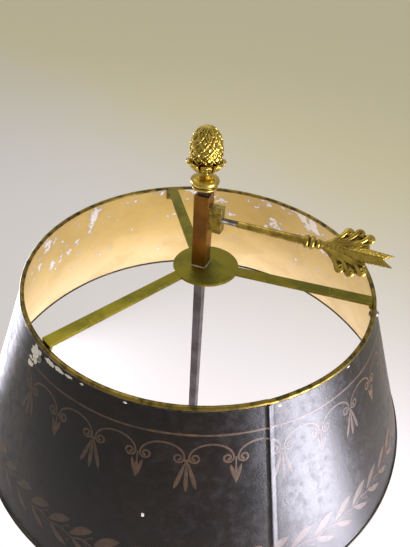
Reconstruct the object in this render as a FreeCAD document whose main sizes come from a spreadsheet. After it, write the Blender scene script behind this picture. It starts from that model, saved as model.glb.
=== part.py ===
import FreeCAD, Part
import Sketcher
import math
import os

from FreeCAD import Placement, Rotation, Vector

# Bouillotte lamp: a stand with two candle branches, and a painted metal shade that slides on a
# square rod and is held there by an arrow-shaped thumb screw.
# Millimetres, +Z up, origin at the middle of the underside, +X along the arrow.

document = FreeCAD.newDocument("bouillotte_lamp")
sheet = document.addObject("Spreadsheet::Sheet", "Sizes")

SIZES = {
    # rod and the sleeve that slides on it
    "rod_side": 8.0,
    "slide_fit": 0.08,
    "solder_gap": 0.05,
    "edge_gap": 0.15,
    "sleeve_wall": 2.2,
    "sleeve_length": 70.4,
    # shade
    "rim_height": 555.0,
    "rim_radius": 150.0,
    "skirt_radius": 210.4,
    "shade_drop": 147.0,
    "sheet_gauge": 0.8,
    "lap_angle": 2.2,
    "seam_angle": -51.3,
    "top_wire": 3.8,
    "bottom_wire": 3.2,
    "shade_travel": 226.0,
    "stop_gap": 0.3,
    # spider that carries the shade
    "spider_turn": 5.0,
    "spider_lift": 0.5,
    "hub_radius": 28.8,
    "hub_shift": 5.0,
    "bar_width": 10.5,
    "bar_gauge": 2.6,
    "lap_start": 113.0,
    "lap_end": 128.0,
    "tab_gauge": 2.2,
    "tab_drop": 15.0,
    "tab_joggle": 5.0,
    "tab_fit": 0.25,
    "tip_screw_drop": 10.0,
    "tip_screw_radius": 1.5,
    "tip_head_radius": 2.7,
    "tip_head_height": 1.9,
    "tip_nut_width": 5.5,
    "tip_nut_height": 2.4,
    # screw block and arrow screw
    "block_length": 10.8,
    "block_depth": 9.2,
    "block_height": 22.0,
    "arrow_height": 50.2,
    "arrow_roll": 40.0,
    "screw_radius": 2.5,
    "pad_gap": 0.05,
    "pad_length": 2.0,
    "thread_end": 30.0,
    "shaft_start_radius": 2.75,
    "shaft_end_radius": 3.4,
    "collar_start": 84.0,
    "collar_length": 12.5,
    "collar_radius": 5.7,
    "collar_spigot": 2.2,
    "vane_length": 54.0,
    "vane_notch": 8.0,
    "vane_root": 2.6,
    "vane_half_width": 5.6,
    "vane_gauge": 3.0,
    "scroll_reach": 15.0,
    "scroll_station": 18.5,
    "scroll_pitch": 7.8,
    "scroll_radius": 3.1,
    "scroll_gauge": 4.2,
    "leaf_gauge": 2.4,
    # finial
    "finial_gap": 5.3,
    "finial_spigot": 2.4,
    "finial_spigot_depth": 10.0,
    "finial_foot_radius": 9.2,
    "finial_ring_radius": 3.3,
    "finial_neck_radius": 4.1,
    "finial_neck_height": 14.2,
    "cup_height": 9.2,
    "cup_radius": 16.2,
    "cup_seat": 3.6,
    "leaf_count": 8.0,
    "cone_radius": 13.0,
    "cone_height": 31.4,
    # base
    "felt_inset": 1.0,
    "felt_gauge": 1.2,
    "foot_radius": 107.0,
    "foot_height": 12.0,
    "dish_flare": 12.0,
    "dish_gauge": 2.0,
    "dome_radius": 44.0,
    "dome_height": 26.0,
    "gallery_height": 20.0,
    "gallery_gauge": 1.4,
    "gallery_count": 30.0,
    "gallery_window": 7.0,
    "ballast_inset": 9.0,
    "bush_radius": 3.5,
    "bush_bore": 2.5,
    "bush_length": 14.0,
    # column
    "tie_radius": 5.0,
    "tie_bore": 3.2,
    "column_fit": 0.2,
    "foot_ring_height": 18.0,
    "stem_length": 107.0,
    "stem_radius": 9.5,
    "boss_height": 40.0,
    "boss_radius": 24.0,
    "boss_waist": 12.0,
    "socket_height": 23.0,
    "cap_height": 14.0,
    "cap_radius": 9.0,
    "upper_foot_radius": 12.5,
    "upper_neck_radius": 7.4,
    # candle branches
    "candle_radius": 95.0,
    "branch_turn": 20.5,
    "branch_radius": 4.0,
    "branch_bore": 2.2,
    "lead_radius": 1.6,
    "branch_start": 25.0,
    "branch_dip": 28.0,
    "branch_dip_angle": 50.0,
    "branch_rise": 9.0,
    "pan_radius": 28.0,
    "pan_height": 7.0,
    "pan_gauge": 1.4,
    "urn_height": 33.5,
    "urn_radius": 14.4,
    "urn_floor": 8.0,
    "candle_tube_radius": 10.5,
    "candle_tube_wall": 0.9,
    "candle_tube_length": 80.0,
    "holder_radius": 9.1,
    "holder_bore": 7.3,
    "holder_depth": 24.0,
    "bulb_cap_radius": 6.9,
    "bulb_cap_height": 20.0,
    "bulb_radius": 15.0,
    "bulb_height": 55.0,
    "glass_wall": 0.8,
    # switch
    "switch_radius": 5.6,
    "switch_flange": 7.4,
    "switch_inner": 9.6,
    "switch_spindle": 1.5,
    "knob_radius": 6.4,
    "knob_length": 12.0,
}


class Length:
    """A size from the sheet, or a sum of such sizes: its number and the formula that gives it."""

    def __init__(self, number, formula):
        self.number = number
        self.formula = formula

    def __add__(self, other):
        return Length(self.number + number_of(other), f"({self.formula} + {formula_of(other)})")

    def __sub__(self, other):
        return Length(self.number - number_of(other), f"({self.formula} - {formula_of(other)})")

    def __mul__(self, other):
        return Length(self.number * number_of(other), f"({self.formula} * {formula_of(other)})")

    def __truediv__(self, other):
        return Length(self.number / number_of(other), f"({self.formula} / {formula_of(other)})")

    def __neg__(self):
        return Length(-self.number, f"(0 - {self.formula})")


def number_of(value):
    return value.number if isinstance(value, Length) else float(value)


def formula_of(value):
    return value.formula if isinstance(value, Length) else str(float(value))


class Sizes:
    """Every size of the sheet as an attribute."""


def fill_sheet():
    sizes = Sizes()
    for row, (name, value) in enumerate(SIZES.items(), start=1):
        sheet.set(f"A{row}", name)
        sheet.set(f"B{row}", str(value))
        sheet.setAlias(f"B{row}", name)
    document.recompute()
    for name in SIZES:
        setattr(sizes, name, Length(float(sheet.get(name)), f"Sizes.{name}"))
    return sizes


d = fill_sheet()
nodes = []

# Heights and places that several pieces share
sleeve_half = d.rod_side / 2 + d.slide_fit + d.sleeve_wall
bar_bottom = d.rim_height + d.spider_lift
sleeve_top = bar_bottom + d.sleeve_length
finial_seat = sleeve_top + d.finial_gap
arrow_axis = bar_bottom + d.arrow_height
shade_slope = (d.skirt_radius - d.rim_radius) / d.shade_drop
dish_floor = d.felt_gauge + d.foot_height
dome_top = dish_floor + d.dome_height
stem_seat = dome_top + d.foot_ring_height
boss_seat = stem_seat + d.stem_length
boss_top = boss_seat + d.boss_height
socket_axis = boss_seat + d.socket_height
cap_top = bar_bottom - d.shade_travel - d.stop_gap
cap_seat = cap_top - d.cap_height
spoke_angles = [number_of(d.spider_turn) + 120.0 * turn for turn in range(3)]
candle_angles = [number_of(d.branch_turn), number_of(d.branch_turn) + 180.0]
switch_angle = candle_angles[0] - 90.0


def bind(item, name, value):
    item.setExpression(name, formula_of(value))


def new_body(label):
    body = document.addObject("PartDesign::Body", label)
    body.Label = label
    return body


def keep(item, label):
    """Give the finished sub-part its label and put it on the list of files."""
    item.Label = label
    nodes.append(item)
    return item


def place(item, x=0.0, y=0.0, z=0.0, rotation=None):
    base = Vector(number_of(x), number_of(y), number_of(z))
    item.Placement = Placement(base, rotation or Rotation())
    for axis, value in (("x", x), ("y", y), ("z", z)):
        if isinstance(value, Length):
            bind(item, f".Placement.Base.{axis}", value)
    return item


def turned_about_z(angle):
    return Rotation(Vector(0, 0, 1), angle)


def polar(radius, angle):
    """A point on a circle about the lamp's axis, as two lengths."""
    x = radius * math.cos(math.radians(angle))
    y = radius * math.sin(math.radians(angle))
    return x, y


def origin_plane(body, role):
    return [plane for plane in body.Origin.OriginFeatures if plane.Role == role][0]


def new_sketch(body, name, role, offset=None):
    sketch = body.newObject("Sketcher::SketchObject", name)
    sketch.AttachmentSupport = [(origin_plane(body, role), "")]
    sketch.MapMode = "FlatFace"
    if offset is not None:
        sketch.AttachmentOffset = Placement(Vector(0, 0, number_of(offset)), Rotation())
        bind(sketch, ".AttachmentOffset.Base.z", offset)
    return sketch


def fix_point(sketch, geometry, end, x, y):
    """Hold one end of a line or arc at x, y from the sketch's origin, by the sheet's sizes."""
    for kind, axis, value in (("DistanceX", -2, x), ("DistanceY", -1, y)):
        if not isinstance(value, Length) and float(value) == 0.0:
            sketch.addConstraint(Sketcher.Constraint("PointOnObject", geometry, end, axis))
            continue
        index = sketch.addConstraint(
            Sketcher.Constraint(kind, -1, 1, geometry, end, number_of(value)))
        if isinstance(value, Length):
            label = f"{kind}_{geometry}_{end}"
            sketch.renameConstraint(index, label)
            bind(sketch, f"Constraints.{label}", value)


def arc_through(start, finish, radius):
    """The short arc between two points: a positive radius bends to the right of the way along."""
    chord = finish - start
    half = chord.Length / 2
    reach = max(radius * radius - half * half, 0.0) ** 0.5
    left = Vector(-chord.y, chord.x, 0).normalize()
    side = 1.0 if radius > 0 else -1.0
    centre = (start + finish) * 0.5 + left * reach * side
    circle = Part.Circle(centre, Vector(0, 0, 1), abs(radius))
    first, last = (start, finish) if side > 0 else (finish, start)
    angles = [math.atan2(p.y - centre.y, p.x - centre.x) for p in (first, last)]
    return Part.ArcOfCircle(circle, angles[0], angles[1])


def draw_outline(sketch, outline):
    """Draw a closed outline. A corner is x, y or x, y, radius of the arc that leaves it."""
    corners = [Vector(number_of(corner[0]), number_of(corner[1]), 0) for corner in outline]
    ends = []
    for index, corner in enumerate(outline):
        start = corners[index]
        finish = corners[(index + 1) % len(corners)]
        if len(corner) == 2:
            geometry = sketch.addGeometry(Part.LineSegment(start, finish), False)
            ends.append((geometry, 1, 2))
            continue
        radius = number_of(corner[2])
        geometry = sketch.addGeometry(arc_through(start, finish, radius), False)
        ends.append((geometry, 1, 2) if radius > 0 else (geometry, 2, 1))
    for index, corner in enumerate(outline):
        geometry, first, _ = ends[index]
        before, _, last = ends[index - 1]
        sketch.addConstraint(Sketcher.Constraint("Coincident", before, last, geometry, first))
        fix_point(sketch, geometry, first, corner[0], corner[1])
        if len(corner) == 3:
            size = corner[2] if number_of(corner[2]) > 0 else corner[2] * -1.0
            constraint = Sketcher.Constraint("Radius", geometry, number_of(size))
            held = sketch.addConstraint(constraint)
            if isinstance(size, Length):
                sketch.renameConstraint(held, f"Bend_{geometry}")
                bind(sketch, f"Constraints.Bend_{geometry}", size)


def draw_circle(sketch, x, y, radius):
    centre = Vector(number_of(x), number_of(y), 0)
    circle = Part.Circle(centre, Vector(0, 0, 1), number_of(radius))
    geometry = sketch.addGeometry(circle, False)
    fix_point(sketch, geometry, 3, x, y)
    held = sketch.addConstraint(Sketcher.Constraint("Radius", geometry, number_of(radius)))
    sketch.renameConstraint(held, f"Round_{geometry}")
    bind(sketch, f"Constraints.Round_{geometry}", radius)


def rectangle(left, right, bottom, top):
    return [(left, bottom), (right, bottom), (right, top), (left, top)]


def revolve(body, outline, angle=360.0):
    """Turn an outline of radius and height about the body's own Z axis."""
    sketch = new_sketch(body, body.Label + "_profile", "XZ_Plane")
    draw_outline(sketch, outline)
    turn = body.newObject("PartDesign::Revolution", body.Label + "_turn")
    turn.Profile = sketch
    turn.ReferenceAxis = (sketch, ["V_Axis"])
    turn.Angle = number_of(angle)
    if isinstance(angle, Length):
        bind(turn, "Angle", angle)
    body.Tip = turn
    return turn


def pad(body, sketch, length):
    block = body.newObject("PartDesign::Pad", sketch.Label + "_pad")
    block.Profile = sketch
    block.Length = number_of(length)
    bind(block, "Length", length)
    body.Tip = block
    return block


def pocket(body, sketch, length, along_normal):
    """Cut the sketch away, and make sure that the cut took something off."""
    document.recompute()
    before = body.Shape.Volume
    cut = body.newObject("PartDesign::Pocket", sketch.Label + "_cut")
    cut.Profile = sketch
    cut.Length = number_of(length)
    bind(cut, "Length", length)
    cut.Reversed = along_normal
    body.Tip = cut
    document.recompute()
    if body.Shape.Volume > before - 0.01:
        raise ValueError(f"{body.Label}: the cut {cut.Label} takes nothing away")
    return cut


def polar_pattern(body, feature, count):
    pattern = body.newObject("PartDesign::PolarPattern", feature.Label + "_round")
    pattern.Originals = [feature]
    pattern.Axis = (origin_plane(body, "Z_Axis"), [""])
    pattern.Angle = 360.0
    pattern.Occurrences = int(number_of(count))
    bind(pattern, "Occurrences", count)
    body.Tip = pattern
    return pattern


def turned(label, outline, height, x=0.0, y=0.0, rotation=None):
    body = new_body(label)
    revolve(body, outline)
    place(body, x, y, height, rotation)
    return body


def cut_away(base, tool, label):
    cut = document.addObject("Part::Cut", label)
    cut.Base = base
    cut.Tool = tool
    return cut


def group(items, label):
    together = document.addObject("Part::Compound", label)
    together.Links = items
    return together


def rod_tool(label, radius, length, base, direction):
    """A plain cylinder that drills a hole from a point along a direction."""
    drill = document.addObject("Part::Cylinder", label)
    drill.Radius = number_of(radius)
    bind(drill, "Radius", radius)
    drill.Height = number_of(length)
    bind(drill, "Height", length)
    drill.Placement = Placement(base, Rotation(Vector(0, 0, 1), direction))
    return drill


# Shade


def shade_radius(drop):
    """Radius of the middle of the sheet, a drop below the rim."""
    return d.rim_radius + shade_slope * drop


def tip_screw_frame(angle):
    """Place and direction of a tip screw: square to the sheet at the screw's height."""
    lean = math.degrees(math.atan(number_of(shade_slope)))
    radius = number_of(shade_radius(d.tip_screw_drop))
    height = number_of(d.rim_height - d.tip_screw_drop)
    around = turned_about_z(angle)
    outward = around.multVec(Rotation(Vector(0, 1, 0), -lean).multVec(Vector(1, 0, 0)))
    return around.multVec(Vector(radius, 0, 0)) + Vector(0, 0, height), outward


def sheet_outline(inner, outer):
    top = d.top_wire / 2 + d.edge_gap
    bottom = d.shade_drop - d.bottom_wire / 2 - d.edge_gap
    return [
        (shade_radius(bottom) + inner, -bottom),
        (shade_radius(bottom) + outer, -bottom),
        (shade_radius(top) + outer, -top),
        (shade_radius(top) + inner, -top),
    ]


def make_shade_panel():
    """Rolled sheet with a lapped seam, drilled for the three tip screws."""
    body = new_body("shade_sheet")
    half = d.sheet_gauge / 2
    revolve(body, sheet_outline(-half, half))
    lap = new_sketch(body, "seam_lap", "XZ_Plane")
    draw_outline(lap, sheet_outline(half * 0.9, half + d.sheet_gauge))
    strip = body.newObject("PartDesign::Revolution", "seam_lap_turn")
    strip.Profile = lap
    strip.ReferenceAxis = (lap, ["V_Axis"])
    strip.Angle = number_of(d.lap_angle)
    bind(strip, "Angle", d.lap_angle)
    body.Tip = strip
    place(body, z=d.rim_height, rotation=turned_about_z(number_of(d.seam_angle)))
    drills = []
    for number, angle in enumerate(spoke_angles, start=1):
        point, outward = tip_screw_frame(angle)
        reach = d.sheet_gauge * 4
        base = point - outward * number_of(reach)
        hole = d.tip_screw_radius + d.solder_gap
        drills.append(rod_tool(f"panel_drill_{number}", hole, reach * 2, base, outward))
    keep(cut_away(body, group(drills, "panel_drills"), "shade_panel"), "shade_panel")


def make_wire(label, ring_radius, wire, height):
    ring = document.addObject("Part::Torus", label)
    for name, value in (("Radius1", ring_radius), ("Radius2", wire / 2)):
        setattr(ring, name, number_of(value))
        bind(ring, name, value)
    keep(place(ring, z=height), label)


def make_shade():
    make_shade_panel()
    make_wire("top_rim_wire", d.rim_radius, d.top_wire, d.rim_height)
    make_wire("bottom_rim_wire", d.skirt_radius, d.bottom_wire, d.rim_height - d.shade_drop)


# Spider


def make_hub():
    body = new_body("spider_hub")
    sketch = new_sketch(body, "hub_outline", "XY_Plane")
    draw_circle(sketch, d.hub_shift, 0.0, d.hub_radius)
    side = sleeve_half + d.solder_gap
    draw_outline(sketch, rectangle(-side, side, -side, side))
    pad(body, sketch, d.bar_gauge)
    keep(place(body, z=bar_bottom), "spider_hub")


def bar_body(label, outline, angle):
    """A bar seen from its side, as wide as the spider's bars, turned to its place."""
    body = new_body(label)
    sketch = new_sketch(body, label + "_side", "XZ_Plane", d.bar_width / -2)
    draw_outline(sketch, outline)
    pad(body, sketch, d.bar_width)
    place(body, z=bar_bottom, rotation=turned_about_z(angle))
    return body


def make_spoke(number, angle):
    """Flat bar from the hub's edge, halved where its tip laps over it."""
    half = d.bar_gauge / 2
    start = sleeve_half * 1.5
    bar = bar_body(f"bar_{number}", [
        (start, 0.0),
        (d.lap_end, 0.0),
        (d.lap_end, half),
        (d.lap_start, half),
        (d.lap_start, d.bar_gauge),
        (start, d.bar_gauge),
    ], angle)
    base = Vector(number_of(d.hub_shift), 0, number_of(bar_bottom - d.bar_gauge))
    edge = d.hub_radius + d.solder_gap
    disc = rod_tool(f"hub_space_{number}", edge, d.bar_gauge * 3, base, Vector(0, 0, 1))
    label = f"spider_arm_{number}"
    keep(cut_away(bar, disc, label), label)


def make_tip(number, angle):
    """Bent end piece: laps over the bar, turns down inside the rim and lies along the sheet."""
    half = d.bar_gauge / 2
    inside = d.sheet_gauge / 2 + d.tab_fit
    bend_out = d.rim_radius - d.top_wire / 2 - d.tab_fit
    bend_in = bend_out - d.tab_gauge
    knee = d.top_wire / 4
    joggle_out = shade_radius(d.tab_joggle) - inside
    foot_out = shade_radius(d.tab_drop) - inside
    tip = bar_body(f"tip_{number}", [
        (d.lap_start, half),
        (d.lap_end, half),
        (d.lap_end, 0.0),
        (bend_in, 0.0),
        (bend_in, -d.spider_lift - knee),
        (joggle_out - d.tab_gauge, -d.spider_lift - d.tab_joggle),
        (foot_out - d.tab_gauge, -d.spider_lift - d.tab_drop),
        (foot_out, -d.spider_lift - d.tab_drop),
        (joggle_out, -d.spider_lift - d.tab_joggle),
        (bend_out, -d.spider_lift - knee),
        (bend_out, d.bar_gauge),
        (d.lap_start, d.bar_gauge),
    ], angle)
    point, outward = tip_screw_frame(angle)
    reach = d.tab_gauge * 4
    base = point - outward * number_of(reach)
    drill = rod_tool(f"tip_drill_{number}", d.tip_screw_radius + d.solder_gap, reach, base, outward)
    label = f"arm_tip_{number}"
    keep(cut_away(tip, drill, label), label)


def make_tip_fasteners():
    """Round-head screws from outside, and the nuts that hold the tips to the sheet inside."""
    lean = math.cos(math.atan(number_of(shade_slope)))
    face = d.sheet_gauge / 2 * lean + d.solder_gap
    back = (d.sheet_gauge / 2 + d.tab_fit + d.tab_gauge) * lean + d.solder_gap
    nut_end = back + d.tip_nut_height
    screws = []
    nuts = []
    for number, angle in enumerate(spoke_angles, start=1):
        point, outward = tip_screw_frame(angle)
        facing = Rotation(Vector(0, 0, 1), outward)
        screw = new_body(f"tip_screw_{number}")
        revolve(screw, [
            (0.0, -nut_end - d.tip_nut_height / 4),
            (d.tip_screw_radius, -nut_end - d.tip_nut_height / 4),
            (d.tip_screw_radius, face),
            (d.tip_head_radius, face, d.tip_head_radius * 1.05),
            (d.tip_head_radius * 0.3, face + d.tip_head_height),
            (0.0, face + d.tip_head_height),
        ])
        screw.Placement = Placement(point, facing)
        screws.append(screw)
        nut = document.addObject("Part::Prism", f"tip_nut_blank_{number}")
        nut.Polygon = 6
        nut.Circumradius = number_of(d.tip_nut_width) / math.sqrt(3)
        nut.Height = number_of(d.tip_nut_height)
        bind(nut, "Height", d.tip_nut_height)
        nut.Placement = Placement(point - outward * number_of(nut_end), facing)
        bore = rod_tool(f"nut_bore_{number}", d.tip_screw_radius + d.solder_gap,
                        d.tip_nut_height * 3, point - outward * number_of(nut_end * 1.3), outward)
        nuts.append(cut_away(nut, bore, f"tip_nut_{number}"))
    keep(group(screws, "tip_screws"), "tip_screws")
    keep(group(nuts, "tip_nuts"), "tip_nuts")


def make_spider():
    make_hub()
    for number, angle in enumerate(spoke_angles, start=1):
        make_spoke(number, angle)
        make_tip(number, angle)
    make_tip_fasteners()


# Sleeve, screw block and arrow screw


def make_sleeve():
    """Square tube that slides on the rod, with a round hole for the clamp pad."""
    body = new_body("slide_sleeve")
    sketch = new_sketch(body, "sleeve_section", "XY_Plane")
    inside = d.rod_side / 2 + d.slide_fit
    draw_outline(sketch, rectangle(-sleeve_half, sleeve_half, -sleeve_half, sleeve_half))
    draw_outline(sketch, rectangle(-inside, inside, -inside, inside))
    pad(body, sketch, d.sleeve_length)
    hole = new_sketch(body, "pad_hole", "YZ_Plane")
    draw_circle(hole, 0.0, d.arrow_height, d.screw_radius + d.slide_fit)
    pocket(body, hole, sleeve_half * 2, True)
    keep(place(body, z=bar_bottom), "slide_sleeve")


def make_block():
    """Rectangular block on the sleeve's side, tapped for the arrow screw."""
    body = new_body("screw_block")
    sketch = new_sketch(body, "block_face", "YZ_Plane", sleeve_half)
    depth = d.block_depth / 2
    draw_outline(sketch, rectangle(-depth, depth, d.arrow_height - d.block_height / 2,
                                   d.arrow_height + d.block_height / 2))
    draw_circle(sketch, 0.0, d.arrow_height, d.screw_radius + d.slide_fit)
    pad(body, sketch, d.block_length)
    keep(place(body, z=bar_bottom), "screw_block")


def make_arrow():
    """Clamp pad, threaded shaft, ringed collar and feathered tail, along +X."""
    along_x = Rotation(Vector(0, 1, 0), 90)
    rod_face = d.rod_side / 2
    pad_end = d.pad_gap + d.pad_length
    clamp = turned("clamp_pad", rectangle(0.0, d.screw_radius, d.pad_gap, pad_end),
                   arrow_axis, x=rod_face, rotation=along_x)
    keep(clamp, "clamp_pad")
    tip = pad_end + d.pad_gap
    thread = d.thread_end - rod_face
    collar = d.collar_start - rod_face
    spigot = collar + d.collar_length * 0.8
    shaft = turned("arrow_shaft", [
        (0.0, tip),
        (d.screw_radius * 0.8, tip),
        (d.screw_radius, tip + d.screw_radius * 0.2),
        (d.screw_radius, thread),
        (d.shaft_start_radius, thread),
        (d.shaft_end_radius, collar),
        (d.collar_spigot, collar),
        (d.collar_spigot, spigot),
        (0.0, spigot),
    ], arrow_axis, x=rod_face, rotation=along_x)
    keep(shaft, "arrow_shaft")
    make_collar(along_x)
    make_fletching()


def make_collar(along_x):
    """Two bold rings and a small one, bored for the shaft's end."""
    ring = d.collar_length * 0.32
    groove = d.collar_length * 0.02
    rise = d.collar_radius * 0.72
    bow = ring * 0.56
    bore = d.collar_spigot + d.solder_gap
    collar = turned("arrow_collar", [
        (bore, 0.0),
        (rise, 0.0, bow),
        (rise, ring),
        (rise * 0.94, ring + groove),
        (rise, ring + groove * 2, bow),
        (rise, ring * 2 + groove * 2),
        (rise * 0.62, ring * 2 + groove * 2),
        (rise * 0.62, ring * 2.3),
        (rise * 0.74, ring * 2.36, ring * 0.42),
        (rise * 0.74, d.collar_length),
        (bore, d.collar_length),
    ], arrow_axis, x=d.collar_start, rotation=along_x)
    keep(collar, "arrow_collar")


def make_fletching():
    """Cast tail: a feather with a notched end, and three scrolled leaves on each side."""
    body = new_body("arrow_fletching")
    half = d.vane_gauge / 2
    vane = new_sketch(body, "feather", "XY_Plane", -half)
    wide = d.vane_half_width
    draw_outline(vane, [
        (0.0, -d.vane_root),
        (d.vane_length * 0.6, -wide),
        (d.vane_length, wide * -0.84),
        (d.vane_length - d.vane_notch, 0.0),
        (d.vane_length, wide * 0.84),
        (d.vane_length * 0.6, wide),
        (0.0, d.vane_root),
    ])
    pad(body, vane, d.vane_gauge)
    leaf = new_sketch(body, "leaf", "XY_Plane", d.leaf_gauge / -2)
    reach = d.scroll_reach
    first = d.scroll_station
    draw_outline(leaf, [
        (d.vane_root, 0.0),
        (d.vane_length * 0.62, 0.0),
        (first + d.scroll_pitch * 2, reach * 0.74),
        (first + d.scroll_pitch, reach * 0.9),
        (first, reach * 0.92, reach * -1.6),
        (d.vane_root, d.vane_root * 0.8),
    ])
    leaf_pad = pad(body, leaf, d.leaf_gauge)
    scrolls = new_sketch(body, "scrolls", "XY_Plane", d.scroll_gauge / -2)
    for number, share in enumerate((0.93, 1.0, 0.84)):
        station = first + d.scroll_pitch * number
        draw_circle(scrolls, station, reach * share, d.scroll_radius)
    scroll_pad = pad(body, scrolls, d.scroll_gauge)
    mirror = body.newObject("PartDesign::Mirrored", "both_sides")
    mirror.Originals = [leaf_pad, scroll_pad]
    mirror.MirrorPlane = (origin_plane(body, "XZ_Plane"), [""])
    body.Tip = mirror
    start = d.collar_start + d.collar_length
    roll = Rotation(Vector(1, 0, 0), number_of(d.arrow_roll))
    keep(place(body, x=start, z=arrow_axis, rotation=roll), "arrow_fletching")


# Rod and finial


def make_rod():
    """Square steel rod, seated in the branch boss and drilled at its top for the finial."""
    body = new_body("square_rod")
    half = d.rod_side / 2
    rod_seat = boss_seat + d.socket_height + d.branch_radius + d.column_fit
    length = finial_seat - rod_seat
    sketch = new_sketch(body, "rod_section", "XY_Plane")
    draw_outline(sketch, rectangle(-half, half, -half, half))
    pad(body, sketch, length)
    hole = new_sketch(body, "finial_hole", "XY_Plane", length)
    draw_circle(hole, 0.0, 0.0, d.finial_spigot + d.solder_gap)
    pocket(body, hole, d.finial_spigot_depth + d.solder_gap, False)
    keep(place(body, z=rod_seat), "square_rod")


def make_finial():
    """Ring foot with its stud, leaf cup with curled tips, and the cone seated in the cup."""
    foot = d.finial_foot_radius
    ring = d.finial_ring_radius
    neck = d.finial_neck_radius
    top = d.finial_neck_height
    base = turned("finial_base", [
        (0.0, -d.finial_spigot_depth),
        (d.finial_spigot, -d.finial_spigot_depth),
        (d.finial_spigot, 0.0),
        (foot, 0.0, ring * 0.42),
        (foot, ring * 0.8),
        (foot, ring * 0.9, ring),
        (foot, ring * 2.8),
        (foot * 0.86, ring * 2.9, ring * -1.9),
        (neck, top * 0.92),
        (neck, top),
        (d.finial_spigot, top),
        (d.finial_spigot, top + d.cup_seat),
        (0.0, top + d.cup_seat),
    ], finial_seat)
    keep(base, "finial_base")
    make_leaf_cup(finial_seat + top)
    wide = d.cone_radius
    tall = d.cone_height
    cone = turned("pine_cone", [
        (0.0, 0.0),
        (wide * 0.62, 0.0, wide * 1.5),
        (wide, tall * 0.36, wide * 1.62),
        (wide * 0.62, tall * 0.84, wide * 0.75),
        (wide * 0.1, tall),
        (0.0, tall),
    ], finial_seat + top + d.cup_seat + d.solder_gap)
    keep(cone, "pine_cone")


def make_leaf_cup(height):
    """Turned cup with a rolled lip, notched between its leaves."""
    body = new_body("finial_leaf_cup")
    neck = d.finial_neck_radius
    lip = d.cup_radius
    seat = d.finial_spigot + d.solder_gap
    tall = d.cup_height
    revolve(body, [
        (seat, 0.0),
        (neck * 1.15, 0.0, lip * 0.85),
        (lip * 0.84, tall * 0.62),
        (lip * 0.93, tall * 0.62, tall * 0.2),
        (lip * 0.93, tall),
        (lip * 0.84, tall),
        (lip * 0.8, tall * 0.8, lip * -0.85),
        (d.cone_radius * 0.62, d.cup_seat),
        (seat, d.cup_seat),
    ])
    notch = new_sketch(body, "leaf_notch", "XY_Plane", tall * 1.1)
    spread = lip * 0.1
    draw_outline(notch, [
        (lip * 0.83, 0.0),
        (lip * 1.2, -spread * 2),
        (lip * 1.2, spread * 2),
    ])
    cut = pocket(body, notch, tall * 0.9, False)
    polar_pattern(body, cut, d.leaf_count)
    keep(place(body, z=height), "finial_leaf_cup")


# Base


def make_base():
    felt = turned("bottom_felt", rectangle(0.0, d.foot_radius - d.felt_inset, 0.0, d.felt_gauge), 0.0)
    keep(felt, "bottom_felt")
    make_dish()
    make_gallery()
    make_ballast()
    make_tie_rod()
    make_bush()


def make_dish():
    """Spun dish on a foot ring, with a dome in the middle that carries the column."""
    body = new_body("dish")
    gauge = d.dish_gauge
    tall = d.foot_height
    bore = d.tie_radius + d.column_fit
    neck = stem_foot_radius()
    edge = dish_edge_radius()
    revolve(body, [
        (d.foot_radius - gauge, 0.0),
        (d.foot_radius, 0.0),
        (d.foot_radius, tall * 0.84, tall * -0.6),
        (edge - gauge, tall),
        (edge + gauge, tall),
        (edge + gauge * 1.5, tall + gauge * 0.5, gauge * 0.8),
        (edge + gauge, tall + gauge),
        (d.dome_radius, tall + gauge, d.dome_radius * -1.1),
        (neck, tall + d.dome_height),
        (bore, tall + d.dome_height),
        (bore, tall + d.dome_height - gauge * 1.5),
        (neck - gauge, tall + d.dome_height - gauge * 1.5, d.dome_radius * 1.1),
        (d.dome_radius - gauge, tall),
        (d.foot_radius - gauge, tall),
    ])
    place(body, z=d.felt_gauge)
    base = Vector(-number_of(d.foot_radius) - number_of(d.bush_length), 0, number_of(bush_axis()))
    drill = rod_tool("bush_hole", d.bush_radius + d.solder_gap, d.bush_length * 2, base, Vector(1, 0, 0))
    keep(cut_away(body, drill, "base_dish"), "base_dish")


def dish_edge_radius():
    return d.foot_radius + d.dish_flare


def stem_foot_radius():
    return d.stem_radius * 2.1


def bush_axis():
    return d.felt_gauge + d.foot_height * 0.42


def make_gallery():
    """Upright band round the dish, pierced with a row of arched windows."""
    body = new_body("gallery_ring")
    tall = d.gallery_height
    radius = dish_edge_radius()
    gauge = d.gallery_gauge
    revolve(body, [
        (radius - gauge, 0.0),
        (radius, 0.0),
        (radius, tall - gauge * 2),
        (radius + gauge * 0.6, tall - gauge * 1.6, gauge * 0.9),
        (radius + gauge * 0.6, tall),
        (radius - gauge, tall),
    ])
    window = new_sketch(body, "gallery_window", "XZ_Plane")
    half = d.gallery_window / 2
    sill = tall * 0.2
    spring = tall * 0.55
    draw_outline(window, [
        (-half, sill),
        (half, sill),
        (half, spring, half * 1.02),
        (-half, spring),
    ])
    cut = pocket(body, window, radius * 1.2, False)
    polar_pattern(body, cut, d.gallery_count)
    keep(place(body, z=dish_floor + d.dish_gauge), "gallery_ring")


def make_ballast():
    """Cast disc under the dish, with a well for the nut of the tie rod."""
    well = d.tie_radius * 3
    top = dish_floor - d.stop_gap
    under = d.felt_gauge + d.stop_gap / 2
    ceiling = under + d.foot_height * 0.5
    disc = turned("ballast_disc", [
        (d.tie_radius + d.column_fit, ceiling),
        (well, ceiling),
        (well * 1.1, under),
        (d.foot_radius - d.ballast_inset, under),
        (d.foot_radius - d.ballast_inset, top),
        (d.tie_radius + d.column_fit, top),
    ], 0.0)
    keep(disc, "ballast_disc")


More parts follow.
